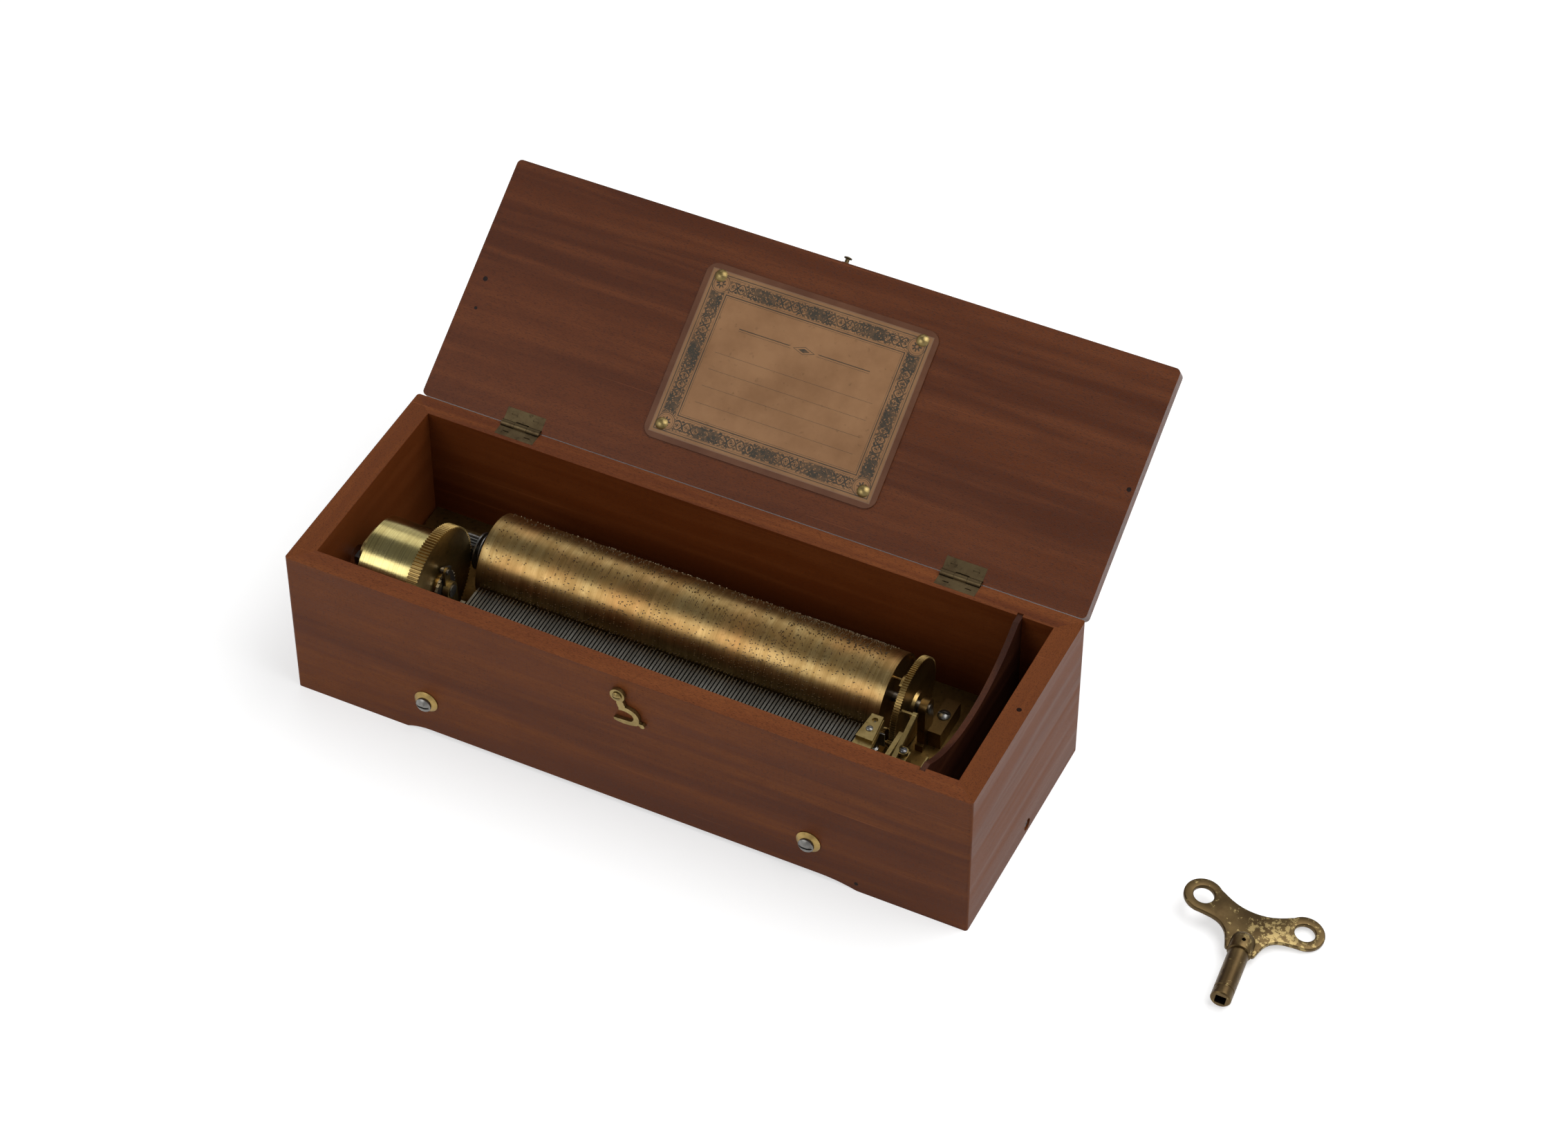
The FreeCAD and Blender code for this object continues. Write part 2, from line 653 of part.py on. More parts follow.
end_hole = rod("x", in_x - 1, end_screw_y, end_screw_z, 1.5 + 0.1, end_wall + 2)
end_sink = rod("x", half_l - 2.2, end_screw_y, end_screw_z, end_screw_head + 0.3, 5)
right_points = [(half_l, -half_d), (half_l, half_d), (in_x, in_y), (in_x, -in_y)]
named(board(right_points, end_hole, end_sink), "right_end_board")

pilot = rod("x", in_x - 9, end_screw_y, end_screw_z, 1.5 + 0.1, 10)
named(cut(box(-in_x, in_x, -in_y, in_y, bottom_rise, floor_z), pilot), "bottom_board")
named(screw("x", half_l - 2.2, end_screw_y, end_screw_z, 1.5, end_wall + 6, end_screw_head, 1.6),
      "end_screw")

# The partition: its top edge is scooped down to a low middle.
top_z = case_height - partition_drop
scoop_r = (scoop_half * scoop_half + scoop_depth * scoop_depth) / (scoop_depth * 2)
half_p = in_y + partition_slot - wood_play / 2
named(plate("YZ_Plane",
            [(-half_p, floor_z), (half_p, floor_z), (half_p, top_z),
             (scoop_half, top_z, (scoop_r, 1)), (-scoop_half, top_z), (-half_p, top_z)],
            partition_x, partition_thick), "partition")
clip_top = top_z - 1.6
named(fuse(box(partition_x - 0.9, partition_x - 0.1, -in_y, -in_y + 9, clip_top - 26, clip_top),
           box(partition_x - 0.9, partition_x - 0.1, -in_y, -in_y + 3.5, clip_top - 27, clip_top)),
      "partition_clip")

# Four fixing screws with domed washers hold the bedplate between the long boards.
washer_dome = (washer_r * washer_r + washer_high * washer_high) / (washer_high * 2)


def washer(axis, x, y, z):
    inner = fix_shank_r + 0.15
    profile = [(inner, 0), (washer_r, 0), (washer_r, 0.5, (washer_dome, -1)),
               (inner + 1.2, washer_high), (inner, washer_high)]
    return turned(axis, x, y, z, profile)


fix_spots = [(axis, x, y) for axis, y in (("-y", -half_d), ("y", half_d))
             for x in (-fix_left, fix_right)]
named(group(*[washer(a, x, y, fix_z) for a, x, y in fix_spots]), "mounting_washers")
named(group(*[screw(a, x, y + (washer_high if a == "y" else -washer_high), fix_z, fix_shank_r,
                    wall + washer_high + fix_bite, fix_head_r, 2.6, 1.1)
              for a, x, y in fix_spots]), "mounting_screws")

# Hinges: the case leaf owns the middle knuckle, the lid leaf the two outer ones.
third = leaf_width / 3


def leaf(centre, plate_low, outer):
    """One leaf at the hinge line, in the case's frame or the closed lid's."""
    flat = box(centre - leaf_width / 2, centre + leaf_width / 2,
               half_d - leaf_reach, half_d, plate_low, plate_low + leaf_thick)
    middle = rod("x", centre - third / 2 + knuckle_gap, half_d, case_height,
                 knuckle_r, third - knuckle_gap * 2)
    if not outer:
        keep = fuse(flat, middle)
        clear = [rod("x", centre + a, half_d, case_height, relief_r,
                     leaf_width / 2 + 0.1 - third / 2 + knuckle_gap)
                 for a in (-leaf_width / 2 - 0.1, third / 2 - knuckle_gap)]
    else:
        ends = [rod("x", centre + a, half_d, case_height, knuckle_r, third)
                for a in (-leaf_width / 2, third / 2)]
        keep = fuse(flat, *ends)
        clear = [rod("x", centre - third / 2 - 0.02, half_d, case_height, relief_r,
                     third + 0.04)]
    bore = rod("x", centre - leaf_width, half_d, case_height, hinge_pin_r + running,
               leaf_width * 2)
    holes = [cone_screw("z" if not outer else "-z", centre + a, leaf_screw_y, case_height,
                        0.05, False) for a in (-leaf_screw_off, leaf_screw_off)]
    return cut(keep, bore, *(clear + holes))


named(group(*[leaf(h, case_height - leaf_thick, False) for h in hinges]), "hinge_case_leaves")
named(group(*[rod("x", h - leaf_width / 2 - 0.1, half_d, case_height, hinge_pin_r,
                  leaf_width + 0.2) for h in hinges]), "hinge_pins")
named(group(*[cone_screw("z", x, leaf_screw_y, case_height) for x in leaf_screw_x]),
      "hinge_case_screws")

# The lid's pieces are drawn closed, over the case, and then swung open about the hinge line.


def opened(obj, name):
    swing = FreeCAD.Placement(V(0, 0, 0), FreeCAD.Rotation(V(-1, 0, 0), lid_open.value),
                              V(0, half_d.value, case_height.value))
    holder = doc.addObject("Part::Compound", fresh("lidset"))
    holder.Links = [obj]
    holder.Placement = swing
    return named(holder, name)


lid_y0 = half_d - lid_reach
lid_y1 = half_d - lid_back
lid_body = new_body("lid")
lid_pad = pad(lid_body, outline(lid_body, "XY_Plane",
                      [(-lid_left, lid_y0), (lid_right, lid_y0), (lid_right, lid_y1),
                       (-lid_left, lid_y1)], case_height), lid_thick)
doc.recompute()
rim = ["Edge%d" % (i + 1) for i, e in enumerate(lid_pad.Shape.Edges)
       if e.BoundBox.ZMax > case_height.value + 1]
edge_round = lid_body.newObject("PartDesign::Fillet", "lid_edges")
edge_round.Base = (lid_pad, rim)
bind(edge_round, "Radius", lid_round)
lid_body.Tip = edge_round
lid_gains = [box(h - leaf_width / 2 - 0.05, h + leaf_width / 2 + 0.05, half_d - leaf_reach - 0.05,
                 half_d + 1, case_height - 1, case_height + leaf_thick) for h in hinges]
lid_reliefs = [rod("x", h - leaf_width / 2 - 0.2, half_d, case_height, relief_r,
                   leaf_width + 0.4) for h in hinges]
lid_holes = [cone_screw("-z", x, leaf_screw_y, case_height, 0.05, False) for x in leaf_screw_x]
far_y = half_d - sheet_far
near_y = half_d - sheet_near
tacks = [(-sheet_left + tack_in_x, far_y + tack_in_y), (sheet_right - tack_in_x, far_y + tack_in_y),
         (-sheet_left + tack_in_x, near_y - tack_in_near),
         (sheet_right - tack_in_x, near_y - tack_in_near)]
film_low = case_height - card_thick - film_thick
tack_holes = [rod("z", x, y, case_height - 1, tack_shank_r + 0.05, tack_shank + 1.2)
              for x, y in tacks]
stud_z = case_height + eye_up
eye_collar = eye_up - 0.2
stud_hole = rod("y", eye_x, lid_y0 - 1, stud_z, eye_stem + 0.05, 7.1)
opened(cut(lid_body, *(lid_gains + lid_reliefs + lid_holes + tack_holes + [stud_hole])),
       "lid_board")
opened(group(*[leaf(h, case_height, True) for h in hinges]), "hinge_lid_leaves")
opened(group(*[cone_screw("-z", x, leaf_screw_y, case_height) for x in leaf_screw_x]),
       "hinge_lid_screws")


def sheet_plate(inset, r, low, thick):
    x0, x1 = -sheet_left + inset, sheet_right - inset
    y0, y1 = far_y + inset, near_y - inset
    points = [(x0 + r, y0), (x1 - r, y0, (r, -1)), (x1, y0 + r), (x1, y1 - r, (r, -1)),
              (x1 - r, y1), (x0 + r, y1, (r, -1)), (x0, y1 - r), (x0, y0 + r, (r, -1))]
    holes = [rod("z", x, y, low - 1, tack_shank_r + 0.1, thick + 2) for x, y in tacks]
    return cut(plate("XY_Plane", points, low, thick), *holes)


opened(sheet_plate(sheet_margin, sheet_corner * 0.6, case_height - card_thick, card_thick),
       "label_card")
opened(sheet_plate(0, sheet_corner, film_low, film_thick), "label_film")
tack_dome = (tack_r * tack_r + tack_high * tack_high) / (tack_high * 2)
opened(group(*[turned("-z", x, y, film_low,
                      [(0, -tack_shank), (tack_shank_r, -tack_shank), (tack_shank_r, 0),
                       (tack_r, 0, (tack_dome, -1)), (0, tack_high)]) for x, y in tacks]),
       "label_tacks")
opened(turned("-y", eye_x, lid_y0, stud_z,
              [(0, -6.0), (eye_stem, -6.0), (eye_stem, 0), (eye_collar, 0),
               (eye_collar, 0.3), (eye_stem, 0.35), (eye_stem, eye_out - 1.1),
               (eye_head, eye_out - 0.8), (eye_head, eye_out - 0.3), (eye_head * 0.6, eye_out),
               (0, eye_out)]), "lid_stud")

# The hook hangs from its screw, mouth to the left; it swings up over the stud of the shut lid.
hook_y = half_d + hook_gap


def from_hook(points):
    shifted = []
    for p in points:
        shifted.append((hook_x + p[0], hook_z + p[1]) + tuple(p[2:]))
    return shifted


hook_arm = plate("XZ_Plane", from_hook(
    [(0.6, -6.7, (11.0, 1)), (9.4, -8.2, (6.0, 1)), (11.2, -14.6, (2.4, 1)),
     (9.6, -16.6, (22.0, 1)), (-1.9, -17.0), (-2.3, -15.5), (6.6, -14.9, (2.7, -1)),
     (7.2, -10.0, (9.0, -1)), (0.6, -9.3)]), hook_y, hook_thick)
hook_neck = plate("XZ_Plane", from_hook([(0.1, -3.0), (2.7, -3.0), (3.4, -7.2), (0.8, -7.2)]),
                  hook_y, hook_thick)
hook_beads = [rod("-y", hook_x + x, -hook_y, hook_z + z, 2.0, hook_thick)
              for x, z in ((1.5, -4.7), (2.0, -6.1))]
hook_disc = rod("-y", hook_x, -hook_y, hook_z, hook_eye_r, hook_thick)
hook_tail = fuse(rod("-y", hook_x + 13.0, -hook_y, hook_z - 15.6, 1.3, hook_thick),
                 plate("XZ_Plane", from_hook([(9.8, -15.3), (10.2, -13.5), (13.0, -15.0),
                                              (12.6, -16.2)]), hook_y, hook_thick))
named(cut(fuse(hook_arm, hook_neck, hook_disc, hook_tail, *hook_beads),
          rod("-y", hook_x, -half_d, hook_z, hook_hole_r, 5)), "hook")
named(screw("-y", hook_x, -hook_y - hook_thick - 0.15, hook_z, hook_screw_r,
            hook_screw_long + hook_gap + hook_thick + 0.15, hook_screw_head, 1.5, 0.6),
      "hook_screw")

# The spring barrel: drum, toothed wheel, spring, and the arbor that the key winds.
bore_r = arbor_r + running
drum_long = drum_left - wheel_left
named(turned("x", -drum_left, barrel_y, barrel_z,
             [(bore_r, 0), (drum_r - 1.2, 0), (drum_r - 1.2, 0.8), (drum_r, 0.8),
              (drum_r, drum_long), (drum_r - drum_wall, drum_long),
              (drum_r - drum_wall, 2.4), (bore_r, 2.4)]), "barrel_drum")
drive_angle = math.degrees(math.atan2(axis_z.value - barrel_z.value,
                                      axis_y.value - barrel_y.value))
barrel_wheel = gear(barrel_teeth, drive_module, wheel_left - wheel_right, bore_r, drive_angle,
                    -wheel_left, barrel_y, barrel_z)
barrel_hub = turned("x", -wheel_right, barrel_y, barrel_z,
                    [(bore_r, 0), (hub_r, 0), (hub_r, hub_long), (bore_r, hub_long)])
named(fuse(barrel_wheel, barrel_hub), "barrel_great_wheel")
named(turned("x", -drum_left + 2.8, barrel_y, barrel_z,
             [(14.0, 0), (drum_r - drum_wall - 0.3, 0),
              (drum_r - drum_wall - 0.3, drum_long - 3.2), (14.0, drum_long - 3.2)]),
      "mainspring")
right_bridge_x = -wheel_right + hub_long + side_gap * 2 + ratchet_thick
left_bridge_x = -drum_left - side_gap - bridge_thick
square_x = left_bridge_x - 0.6
arbor_end = right_bridge_x + bridge_thick + 0.5
arbor_turned = turned("x", square_x, barrel_y, barrel_z,
                      [(0, 0), (arbor_r, 0), (arbor_r, -square_x - drum_left + 3.0),
                       (7.0, -square_x - drum_left + 3.0), (7.0, -square_x - wheel_left - 0.6),
                       (arbor_r, -square_x - wheel_left - 0.6), (arbor_r, arbor_end - square_x),
                       (0, arbor_end - square_x)])
half_s = square_side / 2
winding_square = box(square_x - square_long, square_x, barrel_y - half_s, barrel_y + half_s,
                     barrel_z - half_s, barrel_z + half_s)
named(fuse(arbor_turned, winding_square), "barrel_arbor")

# The ratchet and its click on the right bridge.
notch_turn = 360 / ratchet_teeth.value
nose_turn = 40.0
ratchet_body = new_body("ratchet")
pad(ratchet_body, ring(ratchet_body, "YZ_Plane", ratchet_r), ratchet_thick)
root_r = ratchet_r - ratchet_tooth
turn_sin = math.sin(math.radians(notch_turn))
turn_cos = math.cos(math.radians(notch_turn))
saw = outline(ratchet_body, "YZ_Plane",
              [(0, root_r), (0, ratchet_r + 1), (-ratchet_r * turn_sin, ratchet_r + 1),
               (-ratchet_r * turn_sin, ratchet_r * turn_cos)])
saw_cut = pocket(ratchet_body, saw)
saw_pattern = ratchet_body.newObject("PartDesign::PolarPattern", "ratchet_teeth")
saw_pattern.Originals = [saw_cut]
saw_pattern.Axis = (saw, ["N_Axis"])
saw_pattern.Angle = 360
bind(saw_pattern, "Occurrences", ratchet_teeth)
ratchet_body.Tip = saw_pattern
pocket(ratchet_body, ring(ratchet_body, "YZ_Plane", arbor_r))
ratchet_x = -wheel_right + hub_long + side_gap
ratchet_body.Placement = FreeCAD.Placement(V(0, 0, 0),
                                           FreeCAD.Rotation(V(1, 0, 0), -nose_turn - 2.6))
place(ratchet_body, ratchet_x, barrel_y, barrel_z)
named(ratchet_body, "ratchet_wheel")

click_z = barrel_z + ratchet_r + 2.4


def round_arbor(radius, turn):
    """A point round the barrel arbor, by its angle from the top towards the back."""
    a = math.radians(turn)
    return (barrel_y + radius * math.sin(a), barrel_z + radius * math.cos(a))


click_arm = plate("YZ_Plane",
                  [(barrel_y - 1.0, click_z - 1.3, (ratchet_r + 0.8, 1)),
                   round_arbor(ratchet_r + 0.4, nose_turn - 9),
                   round_arbor(root_r + 0.35, nose_turn - 1),
                   round_arbor(root_r + 0.6, nose_turn + 1.2),
                   round_arbor(ratchet_r + 1.9, nose_turn - 1),
                   (barrel_y + 1.4, click_z + 1.1)],
                  ratchet_x + 0.1, ratchet_thick - 0.2)
click_eye = rod("x", ratchet_x + 0.1, barrel_y, click_z, 1.8, ratchet_thick - 0.2)
named(cut(fuse(click_arm, click_eye),
          rod("x", ratchet_x - 1, barrel_y, click_z, 0.8 + running, 5)), "ratchet_click")
ear_thick = 1.2
named(fuse(rod("x", ratchet_x, barrel_y, click_z, 0.8, ratchet_thick + side_gap + ear_thick),
           rod("x", right_bridge_x + ear_thick, barrel_y, click_z, 1.5, 0.9),
           rod("x", ratchet_x - 0.5, barrel_y, click_z, 1.3, 0.5)), "click_screw")


def cock(x0, thick, half, top_r, y, z, foot_half, hole_r, *extra):
    """An upright with a rounded top round a bearing, on a foot."""
    post = box(x0, x0 + thick, y - half, y + half, bed_top + bridge_foot, z)
    foot = box(x0, x0 + thick, y - foot_half, y + foot_half, bed_top, bed_top + bridge_foot)
    head = rod("x", x0, y, z, top_r, thick)
    return cut(fuse(post, foot, head, *extra), rod("x", x0 - 9, y, z, hole_r, 99))


top_half = 4.7
ear = plate("YZ_Plane", [(barrel_y - 2.4, barrel_z), (barrel_y + 2.4, barrel_z),
                         (barrel_y + 2.4, click_z, (2.41, -1)), (barrel_y - 2.4, click_z)],
            right_bridge_x, ear_thick)
right_tab = box(right_bridge_x, right_bridge_x + 9, barrel_y - 11, barrel_y + 11,
                bed_top, bed_top + bridge_foot)
right_cock = cock(right_bridge_x, bridge_thick, top_half, top_half, barrel_y, barrel_z,
                  11, bore_r, ear, right_tab)
tab_screw_x = right_bridge_x + 6.2
tab_screw_y = (barrel_y - 7, barrel_y + 7)
named(cut(right_cock, rod("x", right_bridge_x - 1, barrel_y, click_z, 0.8 + 0.03, 9),
          *[rod("z", tab_screw_x, y, bed_top - 1, 1.35, 9) for y in tab_screw_y]),
      "barrel_right_bridge")

left_top = 75.0
left_half = bridge_half + 1.7
left_foot = box(left_bridge_x - 5.6, left_bridge_x, barrel_y - 14, barrel_y + 14,
                bed_top, bed_top + bridge_foot)
left_arch = plate("YZ_Plane",
                  [(barrel_y - left_half - 3, bed_top), (barrel_y + left_half + 3, bed_top),
                   (barrel_y + left_half + 3, bed_top + bridge_foot),
                   (barrel_y + left_half, bed_top + bridge_foot + 3),
                   (barrel_y + left_half, left_top - 6, (6.0, -1)),
                   (barrel_y + left_half - 6, left_top), (barrel_y - left_half + 6, left_top, (6.0, -1)),
                   (barrel_y - left_half, left_top - 6),
                   (barrel_y - left_half, bed_top + bridge_foot + 3),
                   (barrel_y - left_half - 3, bed_top + bridge_foot)],
                  left_bridge_x, bridge_thick)
left_screw_x = left_bridge_x - 2.8
left_screw_y = (barrel_y - 9.5, barrel_y + 9.5)
named(cut(fuse(left_arch, left_foot), rod("x", left_bridge_x - 9, barrel_y, barrel_z, bore_r, 30),
          *[rod("z", left_screw_x, y, bed_top - 1, 1.35, 9) for y in left_screw_y]),
      "barrel_left_bridge")
bridge_screws = [screw("z", tab_screw_x, y, bed_top + bridge_foot, 1.3, bridge_foot + 3.5, 2.4, 1.5)
                 for y in tab_screw_y]
bridge_screws += [screw("z", left_screw_x, y, bed_top + bridge_foot, 1.3, bridge_foot + 3.5,
                        2.4, 1.5) for y in left_screw_y]
named(group(*bridge_screws), "barrel_bridge_screws")

# The pinned cylinder slides on its arbor; the arbor turns it from the barrel's wheel.
shaft_bore = shaft_r + running
long_c = cylinder_left + cylinder_right
inner_c = cylinder_r - cylinder_wall
tube = turned("x", -cylinder_left, axis_y, axis_z,
              [(shaft_bore, cap_inset), (inner_c, cap_inset), (inner_c, 0), (cylinder_r, 0),
               (cylinder_r, long_c), (inner_c, long_c), (inner_c, long_c - cap_inset),
               (shaft_bore, long_c - cap_inset), (shaft_bore, long_c - cap_inset - cap_thick),
               (inner_c, long_c - cap_inset - cap_thick), (inner_c, cap_inset + cap_thick),
               (shaft_bore, cap_inset + cap_thick)])
snail_up = shaft_r + 6.6
snail_r = size("snail_r", 6.0, "tune snail radius")
snail_x = great_left - 0.4 - tune_step * 3 - 2.2
dowel_gap = size("dowel_gap", 0.55, "dowel off the snail's face")
dowel_z = axis_z + snail_up + snail_r * 0.7
dowel_x = cylinder_right - cap_inset
named(fuse(tube, rod("x", dowel_x, axis_y, dowel_z, 0.8, snail_x - dowel_gap - dowel_x)),
      "cylinder")

left_post_x = -pinion_left - side_gap - 3.0 - post_thick
right_post_x = great_left + great_thick + 3.4
shaft_x = left_post_x - 0.5
shaft = rod("x", shaft_x, axis_y, axis_z, shaft_r, right_post_x + post_thick + 0.5 - shaft_x)
seat_disc = rod("x", -pinion_right, axis_y, axis_z, 9.8, 0.8)
named(fuse(shaft, seat_disc), "cylinder_arbor")
half_leaf = 180 / pinion_leaves.value
named(gear(pinion_leaves, drive_module, pinion_left - pinion_right, shaft_r,
           drive_angle + 180 + half_leaf, -pinion_left, axis_y, axis_z), "arbor_pinion")
gov_angle = math.degrees(math.atan2(gov_axis_z.value - axis_z.value,
                                    gov_axis_y.value - axis_y.value))
great = gear(great_teeth, great_module, great_thick, shaft_r, gov_angle, great_left,
             axis_y, axis_z)
stop_y = size("stop_y", -2.4, "stop pin along Y")
stop_z = size("stop_z", 62.0, "stop pin height")
great_hub = turned("x", great_left + great_thick, axis_y, axis_z,
                   [(shaft_r, 0), (7.2, 0), (6.4, 1.6), (shaft_r, 1.6)])
snail_stud = rod("x", snail_x - 0.6, axis_y, axis_z + snail_up, 1.1,
                 great_left - snail_x + 0.6)
named(fuse(cut(great, rod("x", great_left - 1, stop_y, stop_z, stop_pin_r + 0.6, 9)), great_hub,
           snail_stud), "cylinder_great_wheel")


def quarter(k):
    """The part of the snail's face that is lowered for one tune."""
    obj = doc.addObject("Part::Box", fresh("quarter"))
    bind(obj, "Length", tune_step * k + 1)
    bind(obj, "Width", snail_r + 1)
    bind(obj, "Height", snail_r + 1)
    obj.Placement = FreeCAD.Placement(V(0, 0, 0), FreeCAD.Rotation(V(1, 0, 0), 45 - 90 * k))
    place(obj, snail_x - 1, axis_y, axis_z + snail_up)
    return obj


snail_disc = rod("x", snail_x, axis_y, axis_z + snail_up, snail_r, great_left - 0.4 - snail_x)
snail_bore = rod("x", snail_x - 1, axis_y, axis_z + snail_up, 1.1 + running, 9)
named(cut(snail_disc, snail_bore, quarter(1), quarter(2), quarter(3)), "tune_snail")

# The return spring on the arbor: one wire, wound from arcs of a quarter turn each.
wire_r = size("wire_r", 0.55, "return spring's wire radius")
coil_r = size("coil_r", 8.6, "return spring's coil radius")
coil_turns = size("coil_turns", 3, "return spring's turns")
coil_x0 = -pinion_right.value + 0.8 + wire_r.value + 0.12
coil_x1 = -cylinder_left.value + cap_inset.value - wire_r.value - 0.2


def helix_point(angle):
    share = angle / (2 * math.pi * coil_turns.value)
    return V(coil_x0 + (coil_x1 - coil_x0) * share,
             axis_y.value + coil_r.value * math.cos(angle),
             axis_z.value + coil_r.value * math.sin(angle))


def helix_way(angle):
    rise = (coil_x1 - coil_x0) / (2 * math.pi * coil_turns.value)
    return V(rise, -coil_r.value * math.sin(angle), coil_r.value * math.cos(angle)).normalize()


def arc_from(start, way, end):
    """The arc that leaves a point in a direction and ends at another point."""
    chord = end - start
    normal = chord - way * chord.dot(way)
    normal.normalize()
    radius = chord.Length ** 2 / (2 * chord.dot(normal))
    centre = start + normal * radius
    middle = (start - centre) + (end - centre)
    middle.normalize()
    return Part.Arc(start, centre + middle * radius, end).toShape()


coil_edges = []
steps = int(coil_turns.value * 4)
for i in range(steps):
    a0 = i * math.pi / 2
    a1 = a0 + math.pi / 2
    p0, p1 = helix_point(a0), helix_point(a1)
    t0, t1 = helix_way(a0), helix_way(a1)
    gap_v = p1 - p0
    both = t0 + t1
    qa = both.dot(both) - 4
    qb = -2 * gap_v.dot(both)
    qc = gap_v.dot(gap_v)
    reach = (-qb - math.sqrt(qb * qb - 4 * qa * qc)) / (2 * qa)
    if reach < 0:
        reach = (-qb + math.sqrt(qb * qb - 4 * qa * qc)) / (2 * qa)
    joint = (p0 + t0 * reach + p1 - t1 * reach) * 0.5
    coil_edges.append(arc_from(p0, t0, joint))
    back = arc_from(p1, t1 * -1, joint)
    coil_edges.append(Part.Arc(joint, back.valueAt((back.FirstParameter + back.LastParameter) / 2),
                               p1).toShape())
coil_wire = Part.Wire(coil_edges)
start_ring = Part.Wire(Part.makeCircle(wire_r.value, helix_point(0), helix_way(0)))
coil_obj = doc.addObject("Part::Feature", "ReturnSpring")
coil_obj.Shape = coil_wire.makePipeShell([start_ring], True, False)
named(coil_obj, "cylinder_spring")
spots = [helix_point(k * math.pi / 60) for k in range(int(120 * coil_turns.value) + 1)]
near = min((spots[a] - spots[b]).Length for a in range(len(spots))
           for b in range(a + 60, len(spots)))
print("return spring: least gap between turns %.2f mm" % (near - 2 * wire_r.value))
print("return spring: volume %.1f of %.1f" % (coil_obj.Shape.Volume,
                                              math.pi * wire_r.value ** 2 * coil_wire.Length))

# Bridges of the cylinder arbor, each on a block held by one large screw.
post_top_r = 5.0
block_y0 = axis_y - 1.1
block_y1 = block_y0 + 24
left_block = box(left_post_x - 7.6, left_post_x + post_thick, block_y0, block_y1,
                 bed_top, bed_top + post_foot)
right_block = box(right_post_x + post_thick - 1, right_post_x + post_thick + 6.8, block_y0,
                  block_y1, bed_top, bed_top + post_foot)
big_screws = [(left_post_x - 3.6, block_y0 + 12.6),
              (right_post_x + post_thick + 2.9, block_y0 + 12.6)]
named(cut(cock(left_post_x, post_thick, post_top_r, post_top_r, axis_y, axis_z, 9, shaft_bore,
               left_block),
          rod("z", big_screws[0][0], big_screws[0][1], bed_top - 1, bridge_screw_r + 0.05, 20)),
      "cylinder_left_bridge")
named(cut(cock(right_post_x, post_thick, post_top_r, post_top_r, axis_y, axis_z, 7, shaft_bore,
               right_block),
          rod("z", big_screws[1][0], big_screws[1][1], bed_top - 1, bridge_screw_r + 0.05, 20)),
      "cylinder_right_bridge")
named(group(*[screw("z", x, y, bed_top + post_foot, bridge_screw_r, post_foot + 4.0,
                    bridge_screw_head, bridge_screw_high, 1.0) for x, y in big_screws]),
      "cylinder_bridge_screws")

# The comb: a thin sawn plate with a thick root, on a brass bar.
tip_y = axis_y - cylinder_r - tip_gap
root_left = tip_y - tooth_long
root_right = tip_y - tooth_short
comb_front = root_left - comb_back + 8
first_cut = -comb_left + 3.0
comb_end = first_cut + comb_pitch * comb_slots - comb_cut / 2
guard_y = tip_y - 11.6
comb_body = new_body("comb")
pad(comb_body, outline(comb_body, "XY_Plane",
                       [(-comb_left, comb_front), (comb_end, comb_front), (comb_end, tip_y),
                        (first_cut + 0.1, tip_y), (first_cut + 0.1, guard_y),
                        (-comb_left, guard_y)], axis_z - tooth_thick), tooth_thick)
half_cut = comb_cut / 2
cut_line = outline(comb_body, "XY_Plane",
                   [(first_cut - half_cut, root_left), (first_cut + half_cut, root_left),
                    (first_cut + half_cut, tip_y + tooth_long),
                    (first_cut - half_cut, tip_y + tooth_long)])
run_x = comb_pitch * (comb_slots - 1)
run_y = root_right - root_left
guide = cut_line.addGeometry(Part.LineSegment(V(0, 0, 0), V(run_x.value, run_y.value, 0)), True)
cut_line.addConstraint(Sketcher.Constraint("Coincident", guide, 1, -1, 1))
for kind, value in (("DistanceX", run_x), ("DistanceY", run_y)):
    c = cut_line.addConstraint(Sketcher.Constraint(kind, -1, 1, guide, 2, value.value))
    bind(cut_line, "Constraints[%d]" % c, value)
saw_kerf = pocket(comb_body, cut_line)
kerfs = comb_body.newObject("PartDesign::LinearPattern", "comb_cuts")
kerfs.Originals = [saw_kerf]
kerfs.Direction = (cut_line, ["Axis0"])
bind(kerfs, "Length", root(run_x * run_x + run_y * run_y))
bind(kerfs, "Occurrences", comb_slots)
comb_body.Tip = kerfs
doc.recompute()
half_vee = (comb_pitch - tip_width) / 2
vee_wide = half_vee + half_vee / tip_vee
vee_line = outline(comb_body, "XY_Plane",
                   [(first_cut, tip_y - tip_vee), (first_cut + vee_wide, tip_y + 1),
                    (first_cut - vee_wide, tip_y + 1)])
vee = pocket(comb_body, vee_line)
vees = comb_body.newObject("PartDesign::LinearPattern", "comb_points")
vees.Originals = [vee]
vees.Direction = (vee_line, ["H_Axis"])
bind(vees, "Length", run_x)
bind(vees, "Occurrences", comb_slots)
comb_body.Tip = vees
comb_root = plate("XY_Plane",
                  [(-comb_left, comb_front), (comb_end, comb_front),
                   (comb_end, root_right - 1.5), (-comb_left, root_left - 1.5)],
                  axis_z - comb_thick, comb_thick - tooth_thick)
comb_screw_x = [-comb_left + (comb_left + comb_end) * ((i + 0.5) / 9.0) for i in range(9)]
comb_screw_y = comb_front + 5.5
comb_holes = [rod("z", x, comb_screw_y, axis_z - 20, comb_screw_r + 0.05, 25)
              for x in comb_screw_x]
named(cut(fuse(comb_body, comb_root), *comb_holes), "comb")
bar = box(-comb_left + 1.5, comb_end - 1.5, comb_front, comb_front + 11.5, bed_top,
          axis_z - comb_thick)
